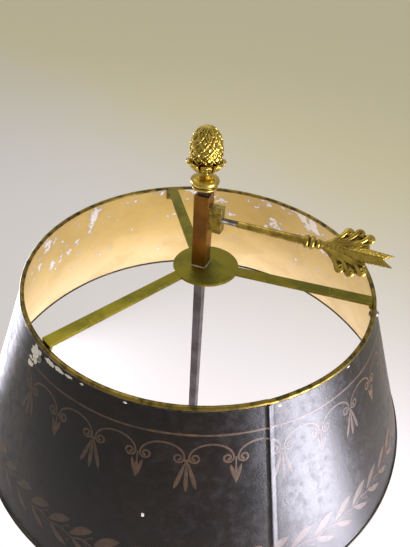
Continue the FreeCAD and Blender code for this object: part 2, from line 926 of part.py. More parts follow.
def make_tie_rod():
    """Threaded tube from the ballast to the branch boss, with its washer and nut."""
    under = d.felt_gauge + d.stop_gap / 2
    ceiling = under + d.foot_height * 0.5
    washer_height = d.foot_height * 0.1
    nut_height = d.foot_height * 0.3
    bottom = ceiling - washer_height - nut_height - d.stop_gap
    tube = turned("tie_rod", rectangle(d.tie_bore, d.tie_radius, bottom,
                                       socket_axis - d.branch_radius - d.column_fit), 0.0)
    keep(tube, "tie_rod")
    bore = d.tie_radius + d.solder_gap
    washer = turned("tie_washer", rectangle(bore, d.tie_radius * 2.2, ceiling - washer_height,
                                            ceiling), 0.0)
    keep(washer, "tie_washer")
    blank = new_body("tie_nut")
    sketch = new_sketch(blank, "nut_outline", "XY_Plane")
    across = d.tie_radius * 1.7
    corner = across * (2 / math.sqrt(3))
    draw_outline(sketch, [
        (corner, 0.0),
        (corner * 0.5, across),
        (corner * -0.5, across),
        (-corner, 0.0),
        (corner * -0.5, -across),
        (corner * 0.5, -across),
    ])
    draw_circle(sketch, 0.0, 0.0, bore)
    pad(blank, sketch, nut_height)
    keep(place(blank, z=ceiling - washer_height - nut_height), "tie_nut")


def make_bush():
    """Plastic bush in the foot ring, where a cord would come in."""
    flange = d.bush_radius * 1.25
    lip = d.bush_length * 0.15
    bush = turned("inlet_bush", [
        (d.bush_bore, 0.0),
        (flange, 0.0),
        (flange, lip),
        (d.bush_radius, lip),
        (d.bush_radius, d.bush_length * 0.6),
        (d.bush_bore, d.bush_length * 0.6),
    ], bush_axis(), x=-d.foot_radius - lip - d.solder_gap, rotation=Rotation(Vector(0, 1, 0), 90))
    keep(bush, "inlet_bush")


# Column


def make_column():
    """Foot moulding, tapering stem, branch boss, upper stem and its cap, strung on the tie rod."""
    bore = d.tie_radius + d.column_fit
    wide = stem_foot_radius()
    tall = d.foot_ring_height
    slim = d.stem_radius
    foot = turned("column_foot", [
        (bore, 0.0),
        (wide, 0.0, tall * 0.2),
        (wide, tall * 0.3),
        (wide * 0.8, tall * 0.36, tall * -0.26),
        (wide * 0.68, tall * 0.7),
        (wide * 0.76, tall * 0.74, tall * 0.14),
        (wide * 0.76, tall),
        (bore, tall),
    ], dome_top)
    keep(foot, "column_foot")
    length = d.stem_length
    stem = turned("column_stem", [
        (bore, 0.0),
        (slim * 1.3, 0.0, slim * 0.3),
        (slim * 1.3, slim * 0.5),
        (slim * 1.05, slim * 0.6),
        (slim * 0.86, length - slim * 2.6),
        (slim * 1.1, length - slim * 2.5, slim * 0.2),
        (slim * 1.1, length - slim * 2.15),
        (slim * 0.9, length - slim * 2.1, slim * -2.4),
        (slim * 1.5, length - slim * 0.6),
        (slim * 1.6, length - slim * 0.5, slim * 0.28),
        (slim * 1.6, length),
        (bore, length),
    ], stem_seat)
    keep(stem, "column_stem")
    make_boss()
    make_upper_stem()


def make_boss():
    """Vase-shaped boss with sockets for both branches, the switch, the tie rod and the rod."""
    body = new_body("boss_vase")
    bore = d.tie_radius + d.solder_gap
    waist = d.boss_waist
    wide = d.boss_radius
    tall = d.boss_height
    chamber_bottom = d.socket_height - d.branch_radius - d.column_fit
    chamber_top = d.socket_height + d.branch_radius + d.column_fit
    chamber = d.switch_inner - d.column_fit
    revolve(body, [
        (bore, 0.0),
        (waist, 0.0),
        (waist, tall * 0.08, waist * -1.1),
        (wide * 0.9, tall * 0.34),
        (wide, tall * 0.36),
        (wide, tall * 0.8),
        (wide * 0.9, tall * 0.82, waist * 1.4),
        (waist, tall * 0.97),
        (waist, tall),
        (0.0, tall),
        (0.0, chamber_top),
        (chamber, chamber_top),
        (chamber, chamber_bottom),
        (bore, chamber_bottom),
    ])
    socket = new_sketch(body, "rod_socket", "XY_Plane", tall)
    side = d.rod_side / 2 + d.solder_gap
    draw_outline(socket, rectangle(-side, side, -side, side))
    pocket(body, socket, tall - chamber_top, False)
    place(body, z=boss_seat)
    drills = []
    height = number_of(socket_axis)
    axis_point = Vector(0, 0, height)
    for number, angle in enumerate(candle_angles, start=1):
        outward = turned_about_z(angle).multVec(Vector(1, 0, 0))
        drills.append(rod_tool(f"branch_drill_{number}", d.branch_radius + d.solder_gap,
                               d.boss_radius * 1.5, axis_point, outward))
    outward = turned_about_z(switch_angle).multVec(Vector(1, 0, 0))
    drills.append(rod_tool("switch_drill", d.switch_radius + d.solder_gap, d.boss_radius * 1.5,
                           axis_point, outward))
    keep(cut_away(body, group(drills, "boss_drills"), "branch_boss"), "branch_boss")


def make_upper_stem():
    """Slender baluster round the rod, with a square-holed cap that the spider comes down on."""
    bore = (d.rod_side / 2) * math.sqrt(2) + d.column_fit
    wide = d.upper_foot_radius
    slim = d.upper_neck_radius
    length = cap_seat - boss_top
    stem = turned("upper_stem", [
        (bore, 0.0),
        (wide, 0.0, wide * 0.14),
        (wide, wide * 0.26),
        (wide * 0.86, wide * 0.32, wide * -0.9),
        (slim, wide * 1.3),
        (slim * 1.3, wide * 1.4, wide * 0.14),
        (slim * 1.3, wide * 1.64),
        (slim * 1.06, wide * 1.72, wide * 9),
        (slim, length * 0.8),
        (slim * 1.35, length * 0.81, wide * 0.14),
        (slim * 1.35, length * 0.81 + wide * 0.24),
        (slim, length * 0.81 + wide * 0.3),
        (slim, length),
        (bore, length),
    ], boss_top)
    keep(stem, "upper_stem")
    cap = new_body("stem_cap")
    tall = d.cap_height
    round_edge = d.cap_radius
    revolve(cap, [
        (0.0, 0.0),
        (slim, 0.0),
        (slim, tall * 0.2, round_edge * -0.6),
        (round_edge, tall * 0.6),
        (round_edge, tall * 0.66, tall * 0.18),
        (round_edge, tall * 0.94),
        (round_edge * 0.9, tall),
        (0.0, tall),
    ])
    hole = new_sketch(cap, "rod_hole", "XY_Plane", tall)
    side = d.rod_side / 2 + d.column_fit
    draw_outline(hole, rectangle(-side, side, -side, side))
    pocket(cap, hole, tall * 1.1, False)
    keep(place(cap, z=cap_seat), "stem_cap")


# Candle branches


def branch_rise_radius():
    """Radius of the arc that brings a branch up under its candle."""
    sweep = math.sin(math.radians(number_of(d.branch_dip_angle)))
    run = d.candle_radius - d.branch_start - d.branch_dip * sweep
    return run / (1 + sweep)


def branch_top():
    """Height where a branch turns straight up."""
    drop = math.cos(math.radians(number_of(d.branch_dip_angle)))
    return socket_axis - d.branch_dip * (1 - drop) + branch_rise_radius() * drop


def branch_path(start, finish):
    """Level out of the boss, down in one arc, up in a second, then straight to the height given."""
    dip = number_of(d.branch_dip)
    rise = number_of(branch_rise_radius())
    angle = math.radians(number_of(d.branch_dip_angle))
    inner = number_of(d.branch_start)
    height = number_of(socket_axis)
    mouth = Vector(inner, 0, height)
    low = mouth + Vector(dip * math.sin(angle), 0, dip * (math.cos(angle) - 1))
    half = angle / 2
    dip_middle = mouth + Vector(dip * math.sin(half), 0, dip * (math.cos(half) - 1))
    centre = low + Vector(rise * math.sin(angle), 0, rise * math.cos(angle))
    turn = (math.pi / 2 - angle) / 2
    rise_middle = centre + Vector(rise * math.sin(turn), 0, -rise * math.cos(turn))
    up = centre + Vector(rise, 0, 0)
    edges = [
        Part.LineSegment(Vector(number_of(start), 0, height), mouth).toShape(),
        Part.Arc(mouth, dip_middle, low).toShape(),
        Part.Arc(low, rise_middle, up).toShape(),
        Part.LineSegment(up, Vector(up.x, 0, number_of(finish))).toShape(),
    ]
    return Part.Wire(edges)


def swept_round(label, path, radius, rotation):
    """A round bar swept along a wire that starts level, along +X."""
    spine = document.addObject("Part::Feature", label + "_spine")
    spine.Shape = path
    section = document.addObject("Part::Circle", label + "_section")
    section.Radius = number_of(radius)
    bind(section, "Radius", radius)
    section.Placement = Placement(path.Vertexes[0].Point, Rotation(Vector(0, 1, 0), 90))
    sweep = document.addObject("Part::Sweep", label)
    sweep.Sections = [section]
    sweep.Spine = (spine, [f"Edge{number}" for number in range(1, len(path.Edges) + 1)])
    sweep.Solid = True
    sweep.Frenet = False
    sweep.Placement = Placement(Vector(0, 0, 0), rotation)
    return sweep


def make_branch(number, angle, leads):
    """One tube with its lead inside, and everything that stands on it."""
    rotation = turned_about_z(angle)
    seat = branch_top() + d.branch_rise
    floor = seat + d.pan_gauge + d.urn_floor
    tube_end = floor + d.pan_gauge
    inner = d.switch_inner
    outer = swept_round(f"branch_{number}", branch_path(inner, tube_end), d.branch_radius, rotation)
    bore_start = inner - d.column_fit
    bore_path = branch_path(bore_start, tube_end + d.column_fit)
    bore = swept_round(f"branch_hole_{number}", bore_path, d.branch_bore, rotation)
    label = f"candle_arm_{number}"
    keep(cut_away(outer, bore, label), label)
    lead_path = branch_path(inner, tube_end)
    leads.append(swept_round(f"branch_lead_{number}", lead_path, d.lead_radius, rotation))
    x, y = polar(d.candle_radius, angle)
    make_drip_pan(number, seat, x, y)
    make_candle(number, floor, seat + d.pan_gauge, x, y)


def make_drip_pan(number, seat, x, y):
    gauge = d.pan_gauge
    hole = d.branch_radius + d.column_fit
    foot = d.branch_radius * 2.4
    pan = turned(f"drip_pan_{number}", [
        (hole, 0.0),
        (foot, 0.0, d.pan_radius * -1.4),
        (d.pan_radius - gauge, d.pan_height - gauge),
        (d.pan_radius, d.pan_height - gauge, gauge * 0.6),
        (d.pan_radius, d.pan_height),
        (d.pan_radius - gauge * 1.6, d.pan_height, d.pan_radius * 1.5),
        (foot + gauge, gauge),
        (hole, gauge),
    ], seat, x, y)
    keep(pan, f"drip_pan_{number}")


def make_candle(number, floor, urn_seat, x, y):
    """Urn, ivory tube, lampholder and bulb, all on one upright axis."""
    hole = d.branch_radius + d.column_fit
    lip = d.urn_radius
    tall = d.urn_height
    socket = d.candle_tube_radius + d.column_fit
    urn = turned(f"candle_cup_{number}", [
        (hole, 0.0),
        (lip * 0.62, 0.0, lip * 0.09),
        (lip * 0.62, lip * 0.17),
        (lip * 0.48, lip * 0.22),
        (lip * 0.46, lip * 0.3, lip * 0.8),
        (lip * 0.96, tall * 0.5, lip * 1.4),
        (lip * 0.84, tall * 0.86),
        (lip, tall * 0.92, lip * 0.1),
        (lip, tall),
        (socket, tall),
        (socket, d.urn_floor),
        (hole, d.urn_floor),
    ], urn_seat, x, y)
    keep(urn, f"candle_cup_{number}")
    tube = turned(f"candle_tube_{number}", rectangle(
        d.candle_tube_radius - d.candle_tube_wall, d.candle_tube_radius, d.solder_gap,
        d.candle_tube_length), floor, x, y)
    keep(tube, f"candle_tube_{number}")
    holder_top = d.candle_tube_length - d.candle_tube_wall * 2
    seat = d.pan_gauge + d.column_fit
    holder = turned(f"lampholder_{number}", [
        (hole, d.solder_gap),
        (d.holder_radius, d.solder_gap),
        (d.holder_radius, holder_top),
        (d.holder_bore, holder_top),
        (d.holder_bore, holder_top - d.holder_depth),
        (d.lead_radius, holder_top - d.holder_depth),
        (d.lead_radius, seat),
        (hole, seat),
    ], floor, x, y)
    keep(holder, f"lampholder_{number}")
    cap_seat_height = floor + holder_top - d.bulb_cap_height + d.column_fit
    cap = d.bulb_cap_radius
    bulb_cap = turned(f"bulb_cap_{number}", [
        (0.0, 0.0),
        (cap * 0.5, 0.0),
        (cap, cap * 0.4),
        (cap, d.bulb_cap_height),
        (0.0, d.bulb_cap_height),
    ], cap_seat_height, x, y)
    keep(bulb_cap, f"bulb_cap_{number}")
    make_bulb(number, cap_seat_height + d.bulb_cap_height, x, y)


def make_bulb(number, seat, x, y):
    """Flame-shaped glass shell, open at its neck."""
    wide = d.bulb_radius
    tall = d.bulb_height
    neck = d.bulb_cap_radius * 0.96
    wall = d.glass_wall
    bulb = turned(f"bulb_glass_{number}", [
        (neck - wall, d.solder_gap),
        (neck, d.solder_gap, wide * 1.9),
        (wide, tall * 0.36, wide * 1.7),
        (wide * 0.55, tall * 0.76, wide * -4),
        (wall, tall),
        (0.0, tall),
        (0.0, tall - wall * 2.4),
        (wide * 0.55 - wall, tall * 0.76 - wall, wide * -1.7),
        (wide - wall, tall * 0.36, wide * -1.9),
    ], seat, x, y)
    keep(bulb, f"bulb_glass_{number}")


def make_branches():
    leads = []
    for number, angle in enumerate(candle_angles, start=1):
        make_branch(number, angle, leads)
    reach = d.tie_bore - d.lead_radius
    riser = document.addObject("Part::Cylinder", "column_lead")
    riser.Radius = number_of(reach)
    bind(riser, "Radius", reach)
    bottom = stem_seat
    height = socket_axis - d.branch_radius - bottom
    riser.Height = number_of(height)
    bind(riser, "Height", height)
    place(riser, x=d.tie_bore - reach - d.column_fit, z=bottom)
    keep(group(leads + [riser], "lead_wires"), "lead_wires")


# Switch


def make_switch():
    """Rotary switch in the boss and the knob on its spindle, square to the branches."""
    facing = turned_about_z(switch_angle).multiply(Rotation(Vector(0, 1, 0), 90))
    inner = d.switch_inner
    face = d.boss_radius + d.stop_gap
    flange = face + d.switch_spindle
    bore = d.switch_spindle + d.solder_gap
    body = turned("switch_body", [
        (0.0, inner),
        (d.switch_radius, inner),
        (d.switch_radius, face),
        (d.switch_flange, face),
        (d.switch_flange, flange),
        (bore, flange),
        (bore, flange - d.boss_radius / 3),
        (0.0, flange - d.boss_radius / 3),
    ], socket_axis, rotation=facing)
    keep(body, "switch_body")
    start = flange + d.stop_gap
    finish = start + d.knob_length
    knob = new_body("switch_knob")
    revolve(knob, [
        (0.0, flange - d.boss_radius / 4),
        (d.switch_spindle, flange - d.boss_radius / 4),
        (d.switch_spindle, start),
        (d.knob_radius * 0.6, start),
        (d.knob_radius * 0.6, start + d.knob_length * 0.3),
        (d.knob_radius, start + d.knob_length * 0.42),
        (d.knob_radius, finish - d.knob_radius * 0.2, d.knob_radius * 1.4),
        (d.knob_radius * 0.4, finish),
        (0.0, finish),
    ])
    flute = new_sketch(knob, "knob_flute", "XY_Plane", finish + d.knob_length)
    draw_circle(flute, d.knob_radius * 1.18, 0.0, d.knob_radius * 0.3)
    cut = pocket(knob, flute, d.knob_length * 1.6, False)
    polar_pattern(knob, cut, d.leaf_count)
    keep(place(knob, z=socket_axis, rotation=facing), "switch_knob")


def export_all():
    document.recompute()
    for item in document.Objects:
        if "Invalid" in item.State or "Error" in item.State:
            raise ValueError(f"{item.Label} failed: {item.State}")
    os.makedirs("parts", exist_ok=True)
    for item in nodes:
        shape = item.Shape
        if shape.isNull() or not shape.isValid() or not shape.Solids:
            raise ValueError(f"{item.Label} has no valid solid")
        shape.exportStep(f"parts/{item.Label}.step")
    print(len(nodes), "nodes written")


make_shade()
make_spider()
make_sleeve()
make_block()
make_arrow()
make_rod()
make_finial()
make_base()
make_column()
make_branches()
make_switch()
export_all()
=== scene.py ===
import bpy
import math
import random
from mathutils import Matrix, Vector, noise


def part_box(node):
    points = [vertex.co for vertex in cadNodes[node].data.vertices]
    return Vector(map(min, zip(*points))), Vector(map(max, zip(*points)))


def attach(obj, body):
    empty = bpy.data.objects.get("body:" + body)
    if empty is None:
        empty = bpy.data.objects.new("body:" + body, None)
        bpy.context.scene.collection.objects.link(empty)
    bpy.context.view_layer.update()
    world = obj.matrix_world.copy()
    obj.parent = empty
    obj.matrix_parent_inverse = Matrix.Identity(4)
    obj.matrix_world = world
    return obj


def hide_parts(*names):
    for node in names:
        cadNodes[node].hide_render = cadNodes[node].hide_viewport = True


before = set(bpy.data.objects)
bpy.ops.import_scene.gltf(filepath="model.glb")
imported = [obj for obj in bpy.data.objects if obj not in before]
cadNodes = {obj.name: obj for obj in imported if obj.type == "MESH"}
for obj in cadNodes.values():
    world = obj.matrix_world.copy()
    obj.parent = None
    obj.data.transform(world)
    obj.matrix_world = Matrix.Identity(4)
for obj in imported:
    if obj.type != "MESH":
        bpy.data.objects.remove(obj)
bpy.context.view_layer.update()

print("frame loaded with", len(cadNodes), "nodes")


# Helpers for meshes

def boxCentre(node):
    low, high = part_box(node)
    return (low + high) / 2


def makePiece(name, points, faces, materials, body, replaced=(), facePaint=None, sharp=40):
    mesh = bpy.data.meshes.new(name)
    mesh.from_pydata([tuple(point) for point in points], [], faces)
    for material in materials:
        mesh.materials.append(material)
    if facePaint:
        mesh.polygons.foreach_set("material_index", facePaint)
    mesh.shade_smooth()
    mesh.set_sharp_from_angle(angle=math.radians(sharp))
    mesh.update()
    piece = bpy.data.objects.new(name, mesh)
    bpy.context.collection.objects.link(piece)
    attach(piece, body)
    if replaced:
        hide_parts(*replaced)
    return piece


def gridFaces(rows, columns, closedRows=False, closedColumns=False):
    # quads over a grid of points laid out row by row
    faces = []
    for row in range(rows if closedRows else rows - 1):
        for column in range(columns if closedColumns else columns - 1):
            here = row * columns
            beyond = (row + 1) % rows * columns
            following = (column + 1) % columns
            faces.append((here + column, here + following, beyond + following, beyond + column))
    return faces


def tubeFaces(rows, sides):
    # a tube of rings with both ends closed
    last = (rows - 1) * sides
    ends = [tuple(range(sides - 1, -1, -1)), tuple(range(last, last + sides))]
    return gridFaces(rows, sides, closedColumns=True) + ends


def flipped(faces):
    return [tuple(reversed(face)) for face in faces]


def revolveRows(rows, count, foot):
    # each row is a function of the angle share that gives radius and height; both ends are closed
    points = []
    for row in rows:
        for step in range(count):
            share = step / count
            radius, height = row(share)
            angle = share * math.tau
            points.append(Vector((radius * math.cos(angle), radius * math.sin(angle), foot + height)))
    return points, tubeFaces(len(rows), count)


def sweepTube(line, radii, sides, flatten=1.0):
    # round bar along a line, with a radius at each point, closed at both ends
    points = []
    up = Vector((0, 0, 1))
    for index, place in enumerate(line):
        before = line[max(index - 1, 0)]
        after = line[min(index + 1, len(line) - 1)]
        along = (after - before).normalized()
        side = along.cross(up)
        if side.length < 1e-6:
            side = along.cross(Vector((1, 0, 0)))
        side.normalize()
        lift = side.cross(along).normalized()
        for step in range(sides):
            angle = step / sides * math.tau
            reach = side * math.cos(angle) + lift * (math.sin(angle) * flatten)
            points.append(place + reach * radii[index])
    return points, tubeFaces(len(line), sides)


def joinParts(parts):
    points = []
    faces = []
    for partPoints, partFaces in parts:
        first = len(points)
        points += partPoints
        faces += [tuple(corner + first for corner in face) for face in partFaces]
    return points, faces


def smoothShare(value):
    value = min(max(value, 0.0), 1.0)
    return value * value * (3 - 2 * value)


# Helpers for materials

def addNode(tree, kind, inputs=None, **settings):
    node = tree.nodes.new(kind)
    for key, value in settings.items():
        setattr(node, key, value)
    for key, value in (inputs or {}).items():
        socket = node.inputs[key]
        if isinstance(value, bpy.types.NodeSocket):
            tree.links.new(value, socket)
        else:
            socket.default_value = value
    return node


def calculate(tree, operation, first, second, clamp=False):
    node = addNode(tree, "ShaderNodeMath", {0: first, 1: second}, operation=operation, use_clamp=clamp)
    return node.outputs[0]


def times(tree, value, share):
    return calculate(tree, "MULTIPLY", value, share)


def cloudNoise(tree, scale, detail, rough=0.5, place=None):
    if place is None:
        place = objectPlace(tree)
    values = {"Vector": place, "Scale": scale, "Detail": detail, "Roughness": rough}
    return addNode(tree, "ShaderNodeTexNoise", values).outputs["Fac"]


def rampBetween(tree, value, low, high):
    node = addNode(tree, "ShaderNodeMapRange", {"Value": value, "From Min": low, "From Max": high},
                   interpolation_type="SMOOTHSTEP")
    return node.outputs["Result"]


def spread(tree, value, low, high):
    # a 0 to 1 value taken to the range low to high
    node = addNode(tree, "ShaderNodeMapRange", {"Value": value, "To Min": low, "To Max": high})
    return node.outputs["Result"]


def blendColour(tree, share, first, second):
    first, second = [(*value, 1) if isinstance(value, tuple) else value for value in (first, second)]
    return addNode(tree, "ShaderNodeMix", {0: share, 6: first, 7: second}, data_type="RGBA").outputs[2]


def makeGroup(name, inputs, outputs):
    group = bpy.data.node_groups.new(name, "ShaderNodeTree")
    for label, value in inputs.items():
        socket = group.interface.new_socket(name=label, in_out="INPUT", socket_type="NodeSocketFloat")
        socket.default_value = value
    for label in outputs:
        group.interface.new_socket(name=label, in_out="OUTPUT", socket_type="NodeSocketFloat")
    entry = group.nodes.new("NodeGroupInput")
    result = group.nodes.new("NodeGroupOutput")
    return group, entry.outputs, result.inputs


def useGroup(tree, group, **values):
    return addNode(tree, "ShaderNodeGroup", values, node_tree=group).outputs


def startMaterial(name, metallic=0.0, roughness=0.5, specular=0.5):
    material = bpy.data.materials.new(name)
    material.use_nodes = True
    tree = material.node_tree
    tree.nodes.clear()
    output = tree.nodes.new("ShaderNodeOutputMaterial")
    shader = tree.nodes.new("ShaderNodeBsdfPrincipled")
    tree.links.new(shader.outputs["BSDF"], output.inputs["Surface"])
    shader.inputs["Metallic"].default_value = metallic
    shader.inputs["Roughness"].default_value = roughness
    shader.inputs["Specular IOR Level"].default_value = specular
    return material, tree, shader


def objectPlace(tree):
    return addNode(tree, "ShaderNodeTexCoord").outputs["Object"]


def finishMaterial(tree, shader, colour, uneven, roughness, relief, depth):
    # colour, a roughness between two values, and a fine bump
    bump = addNode(tree, "ShaderNodeBump", {"Height": relief, "Distance": depth, "Strength": 1.0})
    tree.links.new(colour, shader.inputs["Base Color"])
    tree.links.new(spread(tree, uneven, *roughness), shader.inputs["Roughness"])
    tree.links.new(bump.outputs["Normal"], shader.inputs["Normal"])


# Shared effects

def makeMottle():
    # cloudy patches and a fine grain, from the place on the object
    sizes = {"Patch Scale": 40.0, "Grain Scale": 1500.0, "Low": 0.4, "High": 0.65}
    group, given, result = makeGroup("mottle", sizes, ("Patches", "Grain"))
    patches = cloudNoise(group, given["Patch Scale"], 5.0, 0.6)
    group.links.new(rampBetween(group, patches, given["Low"], given["High"]), result["Patches"])
    group.links.new(cloudNoise(group, given["Grain Scale"], 3.0, 0.65), result["Grain"])
    return group


def makeEdgeWearAndHighlight():
    # 1 along rubbed edges, broken up by noise; on the lacquer also a painted highlight
    group, given, result = makeGroup("edgeWearAndHighlight", {"Width": 0.0006, "Break Scale": 300.0}, ("Mask",))
    rounded = addNode(group, "ShaderNodeBevel", {"Radius": given["Width"]}, samples=4)
    plain = addNode(group, "ShaderNodeNewGeometry")
    facing = addNode(group, "ShaderNodeVectorMath",
                     {0: rounded.outputs["Normal"], 1: plain.outputs["Normal"]}, operation="DOT_PRODUCT")
    turned = calculate(group, "SUBTRACT", 1.0, facing.outputs["Value"])
    edge = rampBetween(group, turned, 0.01, 0.2)
    share = rampBetween(group, cloudNoise(group, given["Break Scale"], 4.0), 0.35, 0.6)
    group.links.new(calculate(group, "MULTIPLY", edge, share, True), result["Mask"])
    return group


def makeHollowGrimeAndShade():
    # 1 far into grooves and corners: grime there, and painted shade where light is blocked
    group, given, result = makeGroup("hollowGrimeAndShade", {"Reach": 0.002, "Start": 0.35, "End": 0.95}, ("Mask",))
    nearby = addNode(group, "ShaderNodeAmbientOcclusion", {"Distance": given["Reach"]},
                     samples=8, only_local=True)
    grimeAndShade, low, high = [calculate(group, "SUBTRACT", 1.0, value)
                       for value in (nearby.outputs["AO"], given["End"], given["Start"])]
    group.links.new(rampBetween(group, grimeAndShade, low, high), result["Mask"])
    return group


def makeScratches():
    # thin scratches in two crossing directions
    group, given, result = makeGroup("scratches", {"Scale": 60.0, "Share": 0.5}, ("Mask",))
    place = objectPlace(group)
    masks = []
    for turn, stretch in (((0.5, 0.3, 0.9), (1, 26, 26)), ((1.1, 2.0, 0.2), (30, 1, 22))):
        laid = addNode(group, "ShaderNodeMapping", {"Vector": place, "Rotation": turn, "Scale": stretch})
        lines = cloudNoise(group, given["Scale"], 1.5, place=laid.outputs["Vector"])
        masks.append(rampBetween(group, lines, 0.70, 0.76))
    both = calculate(group, "MAXIMUM", masks[0], masks[1])
    group.links.new(calculate(group, "MULTIPLY", both, given["Share"], True), result["Mask"])
    return group


def makeSpecks():
    # small round spots, such as dust and pinholes
    group, given, result = makeGroup("specks", {"Scale": 500.0, "Size": 0.2, "Share": 0.3}, ("Mask",))
    cells = addNode(group, "ShaderNodeTexVoronoi", {"Vector": objectPlace(group), "Scale": given["Scale"]})
    spot = calculate(group, "LESS_THAN", cells.outputs["Distance"], given["Size"])
    parts = addNode(group, "ShaderNodeSeparateColor", {"Color": cells.outputs["Color"]})
    chosen = calculate(group, "LESS_THAN", parts.outputs["Red"], given["Share"])
    group.links.new(times(group, spot, chosen), result["Mask"])
    return group


mottle = makeMottle()
edgeWearAndHighlight = makeEdgeWearAndHighlight()
hollowGrimeAndShade = makeHollowGrimeAndShade()
scratches = makeScratches()
specks = makeSpecks()


def addClouds(tree, patchScale, grainScale, low=0.4, high=0.65):
    sizes = {"Patch Scale": patchScale, "Grain Scale": grainScale, "Low": low, "High": high}
    cloudy = useGroup(tree, mottle, **sizes)
    return cloudy["Patches"], cloudy["Grain"]


def makeMetal(name, look):
    # aged metal: a clean and a tarnished colour in patches, dark hollows of grime and painted shade, bright
    # rubbed edges
    material, tree, shader = startMaterial(name, metallic=look.get("metallic", 1.0))
    patches, grain = addClouds(tree, look["patchScale"], look["grainScale"])
    colour = blendColour(tree, patches, look["clean"], look["tarnished"])
    scored = useGroup(tree, scratches, Scale=90.0, Share=look.get("scratchShare", 0.35))
    colour = blendColour(tree, scored["Mask"], colour, look["bright"])
    # hollow colour: grime in grooves and corners, and painted shade there
    if "hollow" in look:
        grimeAndShade = useGroup(tree, hollowGrimeAndShade, Reach=look["reach"])
        colour = blendColour(tree, grimeAndShade["Mask"], colour, look["hollow"])
    if "edge" in look:
        worn = useGroup(tree, edgeWearAndHighlight, Width=look["edge"])
        colour = blendColour(tree, worn["Mask"], colour, look["bright"])
    uneven = calculate(tree, "ADD", times(tree, patches, 0.6), times(tree, grain, 0.4))
    finishMaterial(tree, shader, colour, uneven, look["roughness"], grain, look.get("bump", 0.00004))
    return material


def makePlastic(name, look):
    material, tree, shader = startMaterial(name, specular=look.get("specular", 0.5))
    patches, grain = addClouds(tree, look["patchScale"], look["grainScale"])
    colour = blendColour(tree, patches, look["clean"], look["faded"])
    dusty = useGroup(tree, specks, Scale=look.get("speckScale", 700.0), Size=0.25, Share=0.12)
    colour = blendColour(tree, times(tree, dusty["Mask"], 0.5), colour, look["speck"])
    finishMaterial(tree, shader, colour, grain, look["roughness"], grain, look.get("bump", 0.00003))
    return material


# hollow is the colour of grime and painted shade in grooves and corners, reach how far it goes
metalLooks = {
    "rimBrass": {"clean": (0.24, 0.17, 0.035), "tarnished": (0.06, 0.045, 0.014),
                 "bright": (0.55, 0.43, 0.12), "patchScale": 120.0, "grainScale": 1600.0,
                 "roughness": (0.28, 0.52), "scratchShare": 0.4},
    "darkWire": {"clean": (0.05, 0.045, 0.03), "tarnished": (0.02, 0.018, 0.014),
                 "bright": (0.2, 0.17, 0.1), "patchScale": 60.0, "grainScale": 1400.0,
                 "roughness": (0.3, 0.55), "metallic": 0.7},
    "spiderBrass": {"clean": (0.22, 0.185, 0.018), "tarnished": (0.14, 0.128, 0.018),
                    "bright": (0.66, 0.50, 0.16), "patchScale": 45.0, "grainScale": 1500.0,
                    "roughness": (0.34, 0.52), "edge": 0.0005, "hollow": (0.05, 0.045, 0.02),
                    "reach": 0.003},
    "sleeveBronze": {"clean": (0.30, 0.15, 0.035), "tarnished": (0.20, 0.10, 0.03),
                     "bright": (0.60, 0.40, 0.15), "patchScale": 60.0, "grainScale": 1200.0,
                     "roughness": (0.32, 0.48), "edge": 0.0005},
    "blockBrass": {"clean": (0.42, 0.32, 0.08), "tarnished": (0.16, 0.15, 0.04),
                   "bright": (0.75, 0.6, 0.25), "patchScale": 260.0, "grainScale": 1600.0,
                   "roughness": (0.3, 0.48), "edge": 0.0005},
    "arrowGilt": {"clean": (0.42, 0.30, 0.055), "tarnished": (0.22, 0.145, 0.03),
                  "bright": (0.85, 0.68, 0.22), "patchScale": 110.0, "grainScale": 1700.0,
                  "roughness": (0.20, 0.38), "edge": 0.0003, "hollow": (0.035, 0.018, 0.006),
                  "reach": 0.0034, "scratchShare": 0.1, "bump": 0.00002},
    "finialGilt": {"clean": (0.56, 0.41, 0.085), "tarnished": (0.36, 0.26, 0.05),
                   "bright": (0.90, 0.72, 0.26), "patchScale": 100.0, "grainScale": 1700.0,
                   "roughness": (0.22, 0.36), "hollow": (0.09, 0.055, 0.010),
                   "reach": 0.0030, "scratchShare": 0.08, "bump": 0.000015},
    "standBrass": {"clean": (0.55, 0.38, 0.12), "tarnished": (0.34, 0.24, 0.08),
                   "bright": (0.85, 0.66, 0.28), "patchScale": 28.0, "grainScale": 1300.0,
                   "roughness": (0.2, 0.38), "edge": 0.0006, "hollow": (0.06, 0.04, 0.015),
                   "reach": 0.005},
    "rodSteel": {"clean": (0.135, 0.125, 0.13), "tarnished": (0.095, 0.085, 0.08),
                 "bright": (0.42, 0.40, 0.40), "patchScale": 70.0, "grainScale": 1200.0,
                 "roughness": (0.3, 0.5), "edge": 0.0004},
    "threadSteel": {"clean": (0.22, 0.21, 0.18), "tarnished": (0.12, 0.10, 0.07),
                    "bright": (0.5, 0.47, 0.4), "patchScale": 200.0, "grainScale": 1800.0,
                    "roughness": (0.3, 0.5), "edge": 0.00015, "hollow": (0.03, 0.025, 0.02),
                    "reach": 0.0006},
    "fastenerSteel": {"clean": (0.30, 0.29, 0.26), "tarnished": (0.16, 0.13, 0.09),
                      "bright": (0.6, 0.58, 0.52), "patchScale": 300.0, "grainScale": 1500.0,
                      "roughness": (0.3, 0.5), "edge": 0.0002},
    "solderGrey": {"clean": (0.36, 0.34, 0.27), "tarnished": (0.22, 0.20, 0.13),
                   "bright": (0.6, 0.58, 0.5), "patchScale": 400.0, "grainScale": 1600.0,
                   "roughness": (0.38, 0.58), "bump": 0.0001},
    "capBrass": {"clean": (0.60, 0.45, 0.18), "tarnished": (0.45, 0.33, 0.13),
                 "bright": (0.85, 0.7, 0.4), "patchScale": 120.0, "grainScale": 1500.0,
                 "roughness": (0.22, 0.4)},
    "ballastIron": {"clean": (0.05, 0.047, 0.045), "tarnished": (0.11, 0.06, 0.035),
                    "bright": (0.2, 0.2, 0.2), "patchScale": 70.0, "grainScale": 600.0,
                    "roughness": (0.55, 0.8), "bump": 0.0003, "metallic": 0.6},
}
